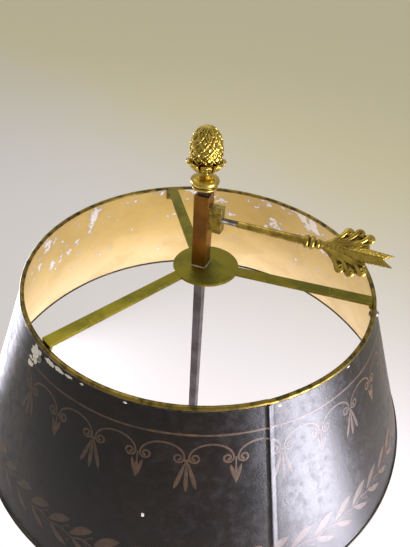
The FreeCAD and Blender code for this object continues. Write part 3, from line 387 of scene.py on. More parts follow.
plasticLooks = {
    "holderPlastic": {"clean": (0.05, 0.042, 0.035), "faded": (0.07, 0.06, 0.05), "speck": (0.2, 0.19, 0.17),
                      "patchScale": 60.0, "grainScale": 2000.0, "roughness": (0.3, 0.45)},
    "bushPlastic": {"clean": (0.03, 0.027, 0.025), "faded": (0.05, 0.045, 0.04), "speck": (0.2, 0.19, 0.17),
                    "patchScale": 90.0, "grainScale": 2000.0, "roughness": (0.3, 0.5)},
    "knobBlack": {"clean": (0.02, 0.018, 0.016), "faded": (0.04, 0.035, 0.03), "speck": (0.25, 0.23, 0.2),
                  "patchScale": 120.0, "grainScale": 1800.0, "roughness": (0.22, 0.36)},
    "leadInsulation": {"clean": (0.30, 0.20, 0.09), "faded": (0.2, 0.13, 0.06), "speck": (0.4, 0.32, 0.2),
                       "patchScale": 150.0, "grainScale": 2600.0, "roughness": (0.5, 0.7)},
    "greenFelt": {"clean": (0.035, 0.085, 0.04), "faded": (0.06, 0.12, 0.06), "speck": (0.2, 0.25, 0.18),
                  "patchScale": 50.0, "grainScale": 2400.0, "roughness": (0.85, 0.98), "bump": 0.0004,
                  "specular": 0.2},
    "candleIvory": {"clean": (0.78, 0.68, 0.46), "faded": (0.70, 0.58, 0.36), "speck": (0.45, 0.34, 0.2),
                    "patchScale": 45.0, "grainScale": 900.0, "roughness": (0.34, 0.5),
                    "speckScale": 350.0, "bump": 0.00008},
    "chippedPrimer": {"clean": (0.78, 0.74, 0.66), "faded": (0.6, 0.55, 0.46), "speck": (0.12, 0.09, 0.06),
                      "patchScale": 500.0, "grainScale": 2500.0, "roughness": (0.6, 0.8),
                      "bump": 0.0002},
}
finishes = {name: makeMetal(name, look) for name, look in metalLooks.items()}
finishes.update({name: makePlastic(name, look) for name, look in plasticLooks.items()})
print("metals and plastics made:", len(finishes))


# Lacquer outside, ochre paint inside, painted ornament

# clouds: scale of the patches and of the grain, then where the patches begin and are full
lacquerLook = {
    "black": (0.0026, 0.0015, 0.0010),
    "brown": (0.0070, 0.0038, 0.0014),
    "dust": (0.030, 0.025, 0.030),
    # worn: rubbed-through lacquer on edges, and a painted highlight along the lap's edge
    "worn": (0.20, 0.185, 0.19),
    "broadClouds": (22.0, 620.0, 0.35, 0.7),
    "closeClouds": (130.0, 1500.0, 0.42, 0.7),
    "hazeShare": 0.13,
    "markShare": 0.6,
    "wornEdgeAndHighlight": 0.0007,
    "specular": 0.31,
    "roughness": (0.26, 0.50),
    "grainDepth": 0.00012,
}


def makeLacquer():
    look = lacquerLook
    material, tree, shader = startMaterial("agedLacquer", specular=look["specular"])
    broad, grain = addClouds(tree, *look["broadClouds"])
    close = addClouds(tree, *look["closeClouds"])[0]
    colour = blendColour(tree, broad, look["black"], look["brown"])
    dusty = useGroup(tree, specks, Scale=620.0, Size=0.28, Share=0.10)
    scored = useGroup(tree, scratches, Scale=70.0, Share=0.30)
    marks = calculate(tree, "MAXIMUM", times(tree, dusty["Mask"], 0.45), scored["Mask"])
    colour = blendColour(tree, times(tree, close, look["hazeShare"]), colour, look["dust"])
    colour = blendColour(tree, times(tree, marks, look["markShare"]), colour, look["dust"])
    # edges lightened: rubbed lacquer, and a painted highlight along the lap's edge
    rubbed = useGroup(tree, edgeWearAndHighlight, Width=look["wornEdgeAndHighlight"])
    colour = blendColour(tree, rubbed["Mask"], colour, look["worn"])
    uneven = calculate(tree, "ADD", times(tree, close, 0.45), times(tree, grain, 0.55))
    finishMaterial(tree, shader, colour, uneven, look["roughness"], grain, look["grainDepth"])
    return material


# heights in metres: paler towards the skirt, flaked towards the rim
ochreLook = {
    "paint": (0.60, 0.43, 0.12),
    "pale": (0.84, 0.66, 0.38),
    "stain": (0.42, 0.27, 0.055),
    "bare": (0.36, 0.34, 0.35),
    "flake": (0.80, 0.76, 0.72),
    "clouds": (18.0, 900.0, 0.38, 0.66),
    "paleFrom": 0.520,
    "paleTo": 0.408,
    "paleShare": 0.75,
    "stainShare": 0.35,
    "specular": 0.4,
    "roughness": (0.36, 0.55),
    "flakeFrom": 0.440,
    "flakeTo": 0.552,
    "flakeEdge": 0.628,
    "flakeDepth": 0.00012,
}


def makeOchre():
    look = ochreLook
    material, tree, shader = startMaterial("ochrePaint", specular=look["specular"])
    height = addNode(tree, "ShaderNodeSeparateXYZ", {"Vector": objectPlace(tree)}).outputs["Z"]
    patches, grain = addClouds(tree, *look["clouds"])
    low = rampBetween(tree, height, look["paleFrom"], look["paleTo"])
    colour = blendColour(tree, times(tree, low, look["paleShare"]), look["paint"], look["pale"])
    colour = blendColour(tree, times(tree, patches, look["stainShare"]), colour, look["stain"])
    near = rampBetween(tree, height, look["flakeFrom"], look["flakeTo"])
    wide = cloudNoise(tree, 33.0, 3.0)
    ragged = cloudNoise(tree, 120.0, 6.0, 0.62)
    level = calculate(tree, "ADD", times(tree, wide, 0.5), times(tree, ragged, 0.5))
    level = calculate(tree, "ADD", level, times(tree, near, 0.085))
    edge = look["flakeEdge"]
    flaked = rampBetween(tree, level, edge, edge + 0.008)
    colour = blendColour(tree, flaked, colour, look["bare"])
    colour = blendColour(tree, rampBetween(tree, level, edge + 0.016, edge + 0.026), colour, look["flake"])
    relief = calculate(tree, "SUBTRACT", times(tree, grain, 0.4), flaked)
    finishMaterial(tree, shader, colour, grain, look["roughness"], relief, look["flakeDepth"])
    return material


goldLook = {
    "gold": (0.085, 0.040, 0.015),
    "brown": (0.044, 0.021, 0.009),
    "rubbed": (0.020, 0.013, 0.008),
    "closeClouds": (240.0, 900.0, 0.36, 0.7),
    "broadClouds": (26.0, 2400.0, 0.36, 0.7),
    "rubbedShare": 0.8,
    "roughness": (0.34, 0.56),
    "grainDepth": 0.00006,
}


def makeGoldPaint():
    # thin gold size on the black, rubbed through in patches
    look = goldLook
    material, tree, shader = startMaterial("wornGoldPaint")
    close, grain = addClouds(tree, *look["closeClouds"])
    broad = addClouds(tree, *look["broadClouds"])[0]
    colour = blendColour(tree, broad, look["gold"], look["brown"])
    colour = blendColour(tree, times(tree, close, look["rubbedShare"]), colour, look["rubbed"])
    finishMaterial(tree, shader, colour, grain, look["roughness"], grain, look["grainDepth"])
    return material


def makeGlass():
    material, tree, shader = startMaterial("bulbGlass")
    shader.inputs["Transmission Weight"].default_value = 1.0
    shader.inputs["IOR"].default_value = 1.45
    patches = addClouds(tree, 50.0, 900.0, 0.45, 0.75)[0]
    colour = blendColour(tree, patches, (0.97, 0.97, 0.95), (0.93, 0.92, 0.88))
    tree.links.new(colour, shader.inputs["Base Color"])
    tree.links.new(spread(tree, patches, 0.015, 0.06), shader.inputs["Roughness"])
    return material


finishes["agedLacquer"] = makeLacquer()
finishes["ochrePaint"] = makeOchre()
finishes["wornGoldPaint"] = makeGoldPaint()
finishes["bulbGlass"] = makeGlass()
print("lacquer, paint and glass made")


# Shade: one rolled sheet with a lapped seam

shade = {
    "rimHeight": 0.555,
    "rimRadius": 0.150,
    "skirtRadius": 0.2104,
    "depth": 0.147,
    "gauge": 0.0008,
    "seamAngle": -51.3,
    "lapAngle": 2.2,
    "wobble": 0.00022,
    "columns": 480,
    "lapColumns": 22,
    "rows": 30,
    "topDrop": 0.0021,
    "bottomDrop": 0.1452,
}
slope = (shade["skirtRadius"] - shade["rimRadius"]) / shade["depth"]
slopeCos = 1 / math.hypot(1, slope)
slopeSin = slope * slopeCos


def sheetRadius(drop):
    return shade["rimRadius"] + slope * drop


def sheetWobble(angle, drop):
    turn = math.radians(angle)
    wave = 0.5 * math.sin(3 * turn + 0.7) + 0.35 * math.sin(8 * turn + 30 * drop)
    wave += 0.3 * math.sin(17 * turn - 55 * drop + 1.3)
    return shade["wobble"] * wave * math.sin(math.pi * min(max(drop / shade["depth"], 0), 1))


def lapLift(angle):
    # the lap rises at its edge and is filed down to the sheet further on
    past = (angle - shade["seamAngle"] + 180) % 360 - 180
    if past < 0 or past > shade["lapAngle"]:
        return 0.0
    return shade["gauge"] * smoothShare(past / 0.3) * (1 - 0.9 * smoothShare((past - 0.5) / 1.1))


def surfacePoint(angle, drop, lift=0.0, inside=False):
    # a place on the sheet: angle in degrees, drop below the rim's plane, lift off the skin
    radius = sheetRadius(drop) + sheetWobble(angle, drop)
    if inside:
        radius -= shade["gauge"] / 2
    else:
        radius += shade["gauge"] / 2 + lapLift(angle) + lift * slopeCos
    turn = math.radians(angle)
    height = shade["rimHeight"] - drop + (0 if inside else lift * slopeSin)
    return Vector((radius * math.cos(turn), radius * math.sin(turn), height))


def makeShadePanel():
    start = shade["seamAngle"]
    step = 360 / shade["columns"]
    fine = shade["lapColumns"]
    angles = [start + shade["lapAngle"] * k / fine for k in range(fine + 1)]
    angles += [start + step * k for k in range(1, shade["columns"]) if step * k > shade["lapAngle"] + 0.1]
    count = len(angles)
    top, bottom, rows = shade["topDrop"], shade["bottomDrop"], shade["rows"]
    drops = [top + (bottom - top) * k / (rows - 1) for k in range(rows)]
    points = [surfacePoint(a, drop) for drop in drops for a in angles]
    points += [surfacePoint(a, drop, inside=True) for drop in reversed(drops) for a in angles]
    faces = gridFaces(rows * 2, count, closedRows=True, closedColumns=True)
    paint = [1 if rows <= index // count < rows * 2 - 1 else 0 for index in range(len(faces))]
    makePiece("painted_shade", points, flipped(faces), [finishes["agedLacquer"], finishes["ochrePaint"]],
              "carriage", ("shade_panel",), paint, sharp=50)


makeShadePanel()
print("shade panel made")


# Ornament: thin brush strokes that lie on the sheet

# angles and their steps in degrees, the rest in metres; Widths are the widest place, the tip,
# and the share of the length where it is widest
ornament = {
    "pendants": 32,
    "firstPendant": -92.8,
    "pendantStep": 11.25,
    "lineDrop": 0.0175,
    "lineWidth": 0.0015,
    "archTop": 0.0237,
    "archFoot": 0.0335,
    "archWidth": 0.0014,
    "archGap": 0.52,
    "voluteAngle": 1.85,
    "voluteTurns": 1.3,
    "voluteShrink": 0.72,
    "leafTips": ((-2.4, 0.0555), (0.1, 0.0572), (2.4, 0.0552)),
    "leafTop": 0.0362,
    "leafWidths": (0.0029, 0.0005, 0.74),
    "knotDrop": 0.0352,
    "knotHalf": 0.55,
    "knotWidths": (0.0022, 0.0005, 0.5),
    "stemTop": 0.0330,
    "stemFoot": 0.0392,
    "stemWidth": 0.0011,
    "budTop": 0.0385,
    "budFoot": 0.0520,
    "budWidths": (0.0020, 0.0004, 0.35),
    "budSideFoot": 0.0512,
    "budSideWidths": (0.0024, 0.0004, 0.35),
    "paintLift": 0.00005,
    "strokeCrown": 0.00004,
    "ringSteps": 720,
    "garlandDrop": 0.1168,
    "garlandStep": 6.0,
    "garlandLeaves": 60,
    "garlandWave": 0.0012,
    "berries": ((-0.0062, 5.3), (0.0052, 5.6)),
    "berryHalf": 0.24,
    "berryWidths": (0.0017, 0.0003, 0.5),
    "stalkWidth": 0.0005,
    "seed": 7,
}
brush = random.Random(ornament["seed"])


def along(angle, drop, across, down):
    # a step on the sheet in metres: across runs with the angle, down along the slope
    return angle + math.degrees(across / sheetRadius(drop)), drop + down * slopeCos


def strokeRows(line, widths):
    # three points across a brush stroke at each place of its line
    rows = []
    for index, (angle, drop) in enumerate(line):
        before = line[max(index - 1, 0)]
        after = line[min(index + 1, len(line) - 1)]
        run = math.radians(after[0] - before[0]) * sheetRadius(drop)
        fall = (after[1] - before[1]) / slopeCos
        length = math.hypot(run, fall) or 1e-9
        side = Vector((-fall / length, run / length)) * (widths[index] / 2)
        rows.append([along(angle, drop, side.x * k, side.y * k) for k in (-1, 0, 1)])
    return rows


def strokeSolid(line, widths, closed=False):
    rows = strokeRows(line, widths)
    lift, crown = ornament["paintLift"], ornament["strokeCrown"]
    points = []
    for row in rows:
        for place, extra in zip(row, (0, crown, 0)):
            points.append(surfacePoint(*place, lift=lift + extra))
        for place in reversed(row):
            points.append(surfacePoint(*place, lift=-lift))
    if closed:
        return points, gridFaces(len(rows), 6, closedRows=True, closedColumns=True)
    return points, tubeFaces(len(rows), 6)


def leafWidths(count, widest, tip, shape):
    # narrow at both ends, widest at the share given by shape
    widths = []
    for index in range(count):
        share = index / (count - 1)
        bend = share / shape if share < shape else (1 - share) / (1 - shape)
        widths.append(tip + (widest - tip) * math.sin(math.pi / 2 * bend) ** 0.8)
    return widths


def curvedLine(start, end, bow, count):
    # a line from start to end in (angle, drop), bowed down the sheet by so many metres
    points = []
    for index in range(count):
        share = index / (count - 1)
        swing = math.sin(math.pi * share) * bow
        angle = start[0] + (end[0] - start[0]) * share
        drop = start[1] + (end[1] - start[1]) * share
        points.append(along(angle, drop, 0, swing))
    return points


def paintLeaf(parts, start, end, bow, count, *widths):
    parts.append(strokeSolid(curvedLine(start, end, bow, count), leafWidths(count, *widths)))


def paintArches(parts):
    size = ornament
    half, foot, gap = size["pendantStep"] / 2, size["archFoot"], size["archGap"]
    reach = (size["voluteAngle"] - gap) * math.radians(1) * sheetRadius(foot)
    for number in range(size["pendants"]):
        pendant = size["firstPendant"] + size["pendantStep"] * number
        for side in (1, -1):
            line = []
            for k in range(11):
                turn = math.pi / 2 * k / 10
                offset = half - (half - gap) * math.sin(turn)
                line.append((pendant + side * offset, foot - (foot - size["archTop"]) * math.cos(turn)))
            middle = pendant + side * size["voluteAngle"]
            for k in range(1, 27):
                turn = k / 26 * math.tau * size["voluteTurns"]
                radius = reach * (1 - size["voluteShrink"] * k / 26)
                line.append(along(middle, foot, side * -radius * math.cos(turn), radius * math.sin(turn)))
            widths = [size["archWidth"] * (1 + 0.18 * noise.noise(Vector((number * 3, side, k * 0.4))))
                      for k in range(len(line))]
            widths[-5:] = [w * s for w, s in zip(widths[-5:], (1.1, 1.3, 1.5, 1.4, 0.8))]
            parts.append(strokeSolid(line, widths))


def paintPendants(parts):
    # three leaves under every other arch foot, a small bud under the ones between
    size = ornament
    for number in range(size["pendants"]):
        pendant = size["firstPendant"] + size["pendantStep"] * number
        if number % 2 == 0:
            for tip, low in size["leafTips"]:
                end = (pendant + tip + brush.uniform(-0.15, 0.15), low)
                paintLeaf(parts, (pendant + tip * 0.1, size["leafTop"]), end, tip * -0.0002, 10,
                          *size["leafWidths"])
            knot, half = size["knotDrop"], size["knotHalf"]
            paintLeaf(parts, (pendant - half, knot), (pendant + half, knot), 0, 6, *size["knotWidths"])
        else:
            top = size["budTop"]
            stem = curvedLine((pendant, size["stemTop"]), (pendant, size["stemFoot"]), 0, 5)
            parts.append(strokeSolid(stem, [size["stemWidth"]] * 5))
            for tip in (-1, 1):
                paintLeaf(parts, (pendant + tip * 1.25, top), (pendant + tip * 0.05, size["budSideFoot"]),
                          tip * 0.0001, 9, *size["budSideWidths"])
            paintLeaf(parts, (pendant, top), (pendant, size["budFoot"]), 0, 9, *size["budWidths"])


def paintGarland(parts):
    size = ornament
    middle, count, half = size["garlandDrop"], size["ringSteps"], size["berryHalf"]
    stem = []
    for k in range(count):
        angle = k * 360 / count
        stem.append((angle, middle + size["garlandWave"] * math.sin(math.radians(angle) * 60)))
    parts.append(strokeSolid(stem, [size["stemWidth"]] * count, closed=True))
    for number in range(size["garlandLeaves"]):
        root = number * size["garlandStep"] + 1.2
        sway = brush.uniform(-0.25, 0.25)
        paintLeaf(parts, (root, middle - 0.0010), (root + 5.4 + sway, middle - 0.0118), -0.0016, 13,
                  0.0072 + brush.uniform(-0.0004, 0.0006), 0.0005, 0.52)
        paintLeaf(parts, (root + 0.5, middle + 0.0010), (root + 5.5 - sway, middle + 0.0108), 0.0014, 13,
                  0.0050 + brush.uniform(-0.0003, 0.0005), 0.0005, 0.5)
        for down, reach in size["berries"]:
            angle, drop = root + reach, middle + down
            stalk = curvedLine((angle - 2.0, middle), (angle, drop), down * 0.15, 6)
            parts.append(strokeSolid(stalk, [size["stalkWidth"]] * 6))
            paintLeaf(parts, (angle - half, drop), (angle + half, drop), 0, 7, *size["berryWidths"])


def makeOrnament():
    parts = []
    count = ornament["ringSteps"]
    ring = [(k * 360 / count, ornament["lineDrop"] + 0.00012 * math.sin(k * 0.13)) for k in range(count)]
    widths = [ornament["lineWidth"] * (1 + 0.12 * math.sin(k * 0.37)) for k in range(count)]
    parts.append(strokeSolid(ring, widths, closed=True))
    paintArches(parts)
    paintPendants(parts)
    paintGarland(parts)
    points, faces = joinParts(parts)
    makePiece("painted_ornament", points, flipped(faces), [finishes["wornGoldPaint"]],
              "carriage")


makeOrnament()
print("ornament painted")


# Chips in the lacquer, most of them near the rim, down to the pale primer

# places: angle in degrees, drop, width and height in metres
chips = {
    "places": [(-116.9, 0.0098, 0.0150, 0.0125), (-118.9, 0.0185, 0.0080, 0.0085),
               (-110.6, 0.0052, 0.0120, 0.0036), (-106.8, 0.0048, 0.0095, 0.0030),
               (-103.0, 0.0044, 0.0070, 0.0020), (-98.5, 0.0038, 0.0030, 0.0014),
               (-133.0, 0.0046, 0.0040, 0.0018), (-127.0, 0.0040, 0.0036, 0.0014),
               (-86.0, 0.0036, 0.0026, 0.0012), (-47.9, 0.0044, 0.0024, 0.0016),
               (-24.0, 0.0036, 0.0030, 0.0010), (-79.0, 0.0790, 0.0022, 0.0030),
               (36.0, 0.0040, 0.0034, 0.0014), (118.0, 0.0060, 0.0044, 0.0020),
               (171.0, 0.0038, 0.0026, 0.0012)],
    "lift": 0.00005,
    "rings": (1.0, 0.7, 0.4, 0.12),
    "corners": 40,
}


def makeChips():
    parts = []
    count, lift = chips["corners"], chips["lift"]
    for number, (angle, drop, wide, tall) in enumerate(chips["places"]):
        rings = []
        for share in chips["rings"]:
            for k in range(count):
                turn = k / count * math.tau
                seed = Vector((math.cos(turn) * 1.8, math.sin(turn) * 1.8, number * 5.1))
                ragged = 1 + 0.45 * noise.noise(seed) + 0.30 * noise.noise(seed * 3.1)
                reach = share * ragged / 2
                across, down = wide * math.cos(turn) * reach, tall * math.sin(turn) * reach
                rings.append(along(angle, drop, across, down))
        points = [surfacePoint(*place, lift=lift) for place in rings]
        points += [surfacePoint(*place, lift=-lift) for place in rings[:count]]
        faces = gridFaces(len(chips["rings"]), count, closedColumns=True)
        last = (len(chips["rings"]) - 1) * count
        under = last + count
        faces.append(tuple(last + k for k in range(count)))
        faces.append(tuple(under + k for k in range(count - 1, -1, -1)))
        faces += [(k, under + k, under + (k + 1) % count, (k + 1) % count) for k in range(count)]
        parts.append((points, flipped(faces)))
    points, faces = joinParts(parts)
    makePiece("primer_chips", points, faces, [finishes["chippedPrimer"]], "carriage")


makeChips()
print("chips made")


# Rim wires

wires = {
    "around": 540,
    "sides": 14,
    "slim": 0.985,
    "top": {"radius": 0.150, "wire": 0.0019, "height": 0.555, "step": 0.00055},
    "bottom": {"radius": 0.2104, "wire": 0.0016, "height": 0.408, "step": 0.0003},
}


def makeRimWire(name, size, finish, node):
    # a rolled wire whose two ends meet with a small step at the seam
    around, sides, wire = wires["around"], wires["sides"], size["wire"] * wires["slim"]
    points = []
    for k in range(around):
        angle = k / around * 360 + shade["seamAngle"]
        past = k / around * 360
        step = size["step"] * (1 - smoothShare(past / 9)) if past > 0.3 else 0.0
        dent = 0.00010 * noise.noise(Vector((past * 0.11, size["radius"] * 50, 0)))
        for side in range(sides):
            turn = side / sides * math.tau
            radius = size["radius"] + dent + step * 0.5 + wire * math.cos(turn)
            height = size["height"] - step * 0.5 + wire * math.sin(turn)
            here = math.radians(angle)
            points.append((radius * math.cos(here), radius * math.sin(here), height))
    faces = gridFaces(around, sides, closedRows=True, closedColumns=True)
    makePiece(name, points, faces, [finish], "carriage", (node,), sharp=60)


makeRimWire("rim_wire_rolled", wires["top"], finishes["rimBrass"], "top_rim_wire")
makeRimWire("skirt_wire_rolled", wires["bottom"], finishes["darkWire"], "bottom_rim_wire")
print("rim wires made")


# Solder round the foot of the sleeve

solder = {"side": 0.00628, "corner": 1.30, "reach": 0.0013, "rise": 0.0011, "sink": 0.0002}


def makeSolder():
    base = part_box("spider_hub")[1].z - solder["sink"]
    count, rows = 120, 5
    points = []
    for row in range(rows):
        share = row / (rows - 1)
        for k in range(count):
            turn = k / count * math.tau
            direction = Vector((math.cos(turn), math.sin(turn), 0))
            square = solder["side"] / max(abs(direction.x), abs(direction.y))
            corner = min(square, solder["side"] * solder["corner"])
            lumpy = 1 + 0.35 * noise.noise(Vector((direction.x * 3, direction.y * 3, 4)))
            out = corner + solder["reach"] * lumpy * (1 - share) ** 1.6 - 0.0003 * share
            points.append(direction * out + Vector((0, 0, base + solder["rise"] * lumpy * share)))
    for k in range(count):
        turn = k / count * math.tau
        direction = Vector((math.cos(turn), math.sin(turn), 0))
        points.append(direction * (solder["side"] * 0.97) + Vector((0, 0, base)))
    faces = gridFaces(rows + 1, count, closedRows=True, closedColumns=True)
    makePiece("sleeve_solder", points, faces, [finishes["solderGrey"]], "carriage")


makeSolder()
print("solder made")


# Arrow screw: threaded shank and shaft

arrow = {
    "thread": 0.0025,
    "threadDepth": 0.00032,
    "pitch": 0.0008,
    "threadEnd": 0.030,
    "threadStep": 0.0001,
    "shaftStart": 0.00275,
    "shaftEnd": 0.0034,
    "spigot": 0.0022,
    "sides": 40,
}


def makeShaft():
    low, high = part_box("arrow_shaft")
    axis = boxCentre("arrow_shaft")
    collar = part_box("arrow_collar")[0].x
    stations = []
    x = low.x
    while x < arrow["threadEnd"]:
        stations.append((x, arrow["thread"], True))
        x += arrow["threadStep"]
    x = arrow["threadEnd"]
    stations.append((x, arrow["thread"] * 0.9, False))
    stations.append((x + 0.0002, arrow["shaftStart"] * 0.93, False))
    for k in range(30):
        share = k / 29
        place = x + 0.0006 + (collar - x - 0.0006) * share
        bulge = 0.00008 * math.sin(share * 9)
        radius = arrow["shaftStart"] + (arrow["shaftEnd"] - arrow["shaftStart"]) * smoothShare(share)
        stations.append((place, radius + bulge * 0.4, False))
    stations.append((collar + 0.00005, arrow["spigot"], False))
    stations.append((high.x, arrow["spigot"], False))
    sides = arrow["sides"]
    points = []
    for place, radius, threaded in stations:
        for side in range(sides):
            share = side / sides
            reach = radius
            if threaded:
                phase = (place / arrow["pitch"] - share) % 1
                reach -= arrow["threadDepth"] * (1 - abs(phase * 2 - 1)) ** 0.8
            turn = share * math.tau
            points.append(Vector((place, axis.y + reach * math.cos(turn), axis.z + reach * math.sin(turn))))
    faces = tubeFaces(len(stations), sides)
    threadRows = sum(1 for station in stations if station[2])
    paint = [0 if index // sides < threadRows else 1 for index in range(len(faces))]
    makePiece("arrow_stem", points, faces, [finishes["threadSteel"], finishes["arrowGilt"]],
              "arrow", ("arrow_shaft",), paint, sharp=60)


makeShaft()
print("arrow shaft made")


# Arrow's tail: a barbed feather with three scrolled leaves on each side, fused like a casting

fletching = {
    "length": 0.054,
    "notch": 0.008,
    "rootWidth": 0.0026,
    "width": 0.0056,
    "endWidth": 0.0047,
    "roll": 40.0,
    "barbPitch": 0.0030,
    "barbLean": 1.5,
    "barbRise": 0.00085,
    "ribRise": 0.0012,
    "ribWidth": 0.0008,
    "rows": 110,
    "columns": 41,
    "heads": [(0.0185, 0.01395), (0.0263, 0.0150), (0.0341, 0.0126)],
    "headRadius": 0.0031,
    "veins": [(0.0155, 0.0105), (0.0215, 0.0112), (0.0290, 0.0108), (0.0345, 0.0086),
              (0.0140, 0.0068), (0.0235, 0.0072)],
    "web": [(0.001, 0.001), (0.010, 0.0050), (0.0170, 0.0118), (0.0235, 0.0130), (0.0310, 0.0122),
            (0.0350, 0.0092), (0.0355, 0.0040), (0.020, 0.001)],
    "webHalf": 0.0004,
    "voxel": 0.00026,
}


def featherGrid():
    size = fletching
    rows, columns = size["rows"], size["columns"]
    layers = []
    for side in (1, -1):
        layer = []
        for row in range(rows):
            share = row / (rows - 1)
            for column in range(columns):
                across = column / (columns - 1) * 2 - 1
                end = size["length"] - size["notch"] * (1 - abs(across))
                u = share * end
                grow = smoothShare(u / 0.032)
                half = size["rootWidth"] + (size["width"] - size["rootWidth"]) * grow
                half += (size["endWidth"] - size["width"]) * smoothShare((u - 0.03) / 0.024)
                v = across * half
                phase = ((u - size["barbLean"] * abs(v)) / size["barbPitch"]) % 1
                barb = size["barbRise"] * phase * smoothShare(abs(across) * 4 - 0.4)
                rib = size["ribRise"] * math.exp(-(v / size["ribWidth"]) ** 2)
                body = 0.0004 + 0.0009 * (1 - abs(across)) ** 0.7 + 0.0006 * math.exp(-u / 0.004)
                layer.append(Vector((u, v, side * (body + barb + rib))))
        layers.append(layer)
    points = layers[0] + layers[1]
    offset = rows * columns
    faces = gridFaces(rows, columns)
    faces += [tuple(offset + corner for corner in face) for face in flipped(faces)]
    border = list(range(columns))
    border += [row * columns + columns - 1 for row in range(1, rows)]
    border += [(rows - 1) * columns + column for column in range(columns - 2, -1, -1)]
    border += [row * columns for row in range(rows - 2, 0, -1)]
    for index, corner in enumerate(border):
        following = border[(index + 1) % len(border)]
        faces.append((corner, following, offset + following, offset + corner)[::-1])
    return points, faces


def scrollLeaf(side, number, head):
    # one leaf that leaves the root, swings out and curls into its head
    size = fletching
    centre = Vector((head[0], head[1] * side, 0))
    radius = size["headRadius"]
    rootPlace = Vector((0.001 + 0.0055 * number, (0.0012 + 0.0006 * number) * side, 0))
    bend = Vector((head[0] * 0.72 + 0.002 * number, head[1] * 0.52 * side, 0))
    entry = centre + Vector((-radius * 0.6, radius * 0.55 * side, 0))
    line = []
    radii = []
    for k in range(15):
        share = k / 14
        place = rootPlace * (1 - share) ** 2 + bend * (2 * share * (1 - share)) + entry * share ** 2
        place.z = 0.0006 * math.sin(math.pi * share)
        line.append(place)
        radii.append(0.0010 + 0.0012 * share)
    begin = math.atan2((entry - centre).y * side, (entry - centre).x)
    reach = (entry - centre).length
    for k in range(1, 22):
        share = k / 21
        turn = begin - share * math.tau * 1.05
        here = reach * (1 - 0.78 * share)
        place = centre + Vector((here * math.cos(turn), here * math.sin(turn) * side, 0.0004 * share))
        line.append(place)
        radii.append(0.0021 - 0.0007 * share)
    return sweepTube(line, radii, sides=12, flatten=1.15)


def leafRibs(side):
    # raised veins that fan out over each leaf
    parts = []
    for u, v in fletching["veins"]:
        line = []
        radii = []
        for k in range(9):
            share = k / 8
            x = 0.002 + (u - 0.002) * share
            y = (0.0014 + (v - 0.0014) * share ** 1.35) * side
            line.append(Vector((x, y, 0)))
            radii.append(0.0007 + 0.0010 * math.sin(math.pi * min(share * 0.9 + 0.1, 1)) + 0.0004 * share)
        parts.append(sweepTube(line, radii, sides=10, flatten=1.35))
    return parts


def webPlate(side):
    # thin plate that joins the ribs and heads of one side
    outline, half = fletching["web"], fletching["webHalf"]
    points = [Vector((x, y * side, z)) for z in (half, -half) for x, y in outline]
    count = len(outline)
    faces = [tuple(range(count)), tuple(range(count * 2 - 1, count - 1, -1))]
    faces += [(k, k + count, (k + 1) % count + count, (k + 1) % count) for k in range(count)]
    return points, flipped(faces) if side > 0 else faces


def makeFletching():
    parts = [featherGrid()]
    for side in (1, -1):
        parts.append(webPlate(side))
        parts += leafRibs(side)
        for number, head in enumerate(fletching["heads"]):
            parts.append(scrollLeaf(side, number, head))
    root = [Vector((x, 0, 0)) for x in (0.0, 0.0012, 0.0030, 0.0060)]
    parts.append(sweepTube(root, [0.0036, 0.0034, 0.0026, 0.0014], sides=20))
    points, faces = joinParts(parts)
    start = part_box("arrow_fletching")[0].x
    axis = boxCentre("arrow_shaft")
    roll = Matrix.Rotation(math.radians(fletching["roll"]), 4, "X")
    place = Matrix.Translation((start, axis.y, axis.z)) @ roll
    points = [place @ point for point in points]
    piece = makePiece("arrow_tail", points, faces, [finishes["arrowGilt"]], "arrow",
                      ("arrow_fletching",), sharp=180)
    fuse = piece.modifiers.new("fuse", "REMESH")
    fuse.mode = "VOXEL"
    fuse.voxel_size = fletching["voxel"]
    fuse.use_smooth_shade = True


makeFletching()
print("arrow tail made")


# Finial: leaf cup and pine cone

cup = {
    "leaves": 8,
    "neck": 0.0046,
    "belly": 0.0136,
    "height": 0.0092,
    "rimShare": 0.86,
    "gap": 0.0022,
    "gapDrop": 0.0006,
    "curl": 0.0021,
    "tuck": 0.0004,
    "curlPower": 2.2,
    "rows": 45,
    "columns": 256,
}


def cupRow(t):
    # t from 0 at the neck to 1 at the lip's outside, then on to 1.6 inside
    def row(share):
        leaf = (share * cup["leaves"]) % 1
        middle = abs(leaf * 2 - 1)
        gap = smoothShare((middle - 0.72) / 0.28)
        tip = 1 - middle ** cup["curlPower"]
        if t <= 1:
            bulge = math.sin(min(t, 1) * math.pi / 2)
            radius = cup["neck"] + (cup["belly"] - cup["neck"]) * bulge ** 0.85
            height = cup["height"] * cup["rimShare"] * (1 - math.cos(t * math.pi / 2)) ** 0.72
            rib = math.exp(-((leaf - 0.5) / 0.07) ** 2)
            edge = math.exp(-((middle - 0.66) / 0.13) ** 2)
            hollow = math.exp(-((middle - 0.32) / 0.16) ** 2)
            relief = 0.0005 * edge + 0.00045 * rib - 0.0006 * hollow - cup["gap"] * gap
            radius += smoothShare(t * 2.2) * relief
            height -= cup["gapDrop"] * gap * t
            if t > 0.72:
                curl = smoothShare((t - 0.72) / 0.28)
                radius += cup["curl"] * curl * tip - cup["tuck"] * curl
            return radius, height
        past = (t - 1) / 0.6
        turn = past * math.pi * 0.9
        bead = 0.0011 + 0.0005 * tip
        radius = cup["belly"] - cup["tuck"] + cup["curl"] * tip - cup["gap"] * gap
        radius += -bead + bead * math.cos(turn) - 0.0022 * smoothShare(past)
        height = cup["height"] * cup["rimShare"] - cup["gapDrop"] * gap
        height += (bead * math.sin(turn) + 0.0002) * (0.35 + 0.65 * tip)
        height -= 0.0016 * smoothShare(past * 1.2 - 0.2)
        return radius, height
    return row


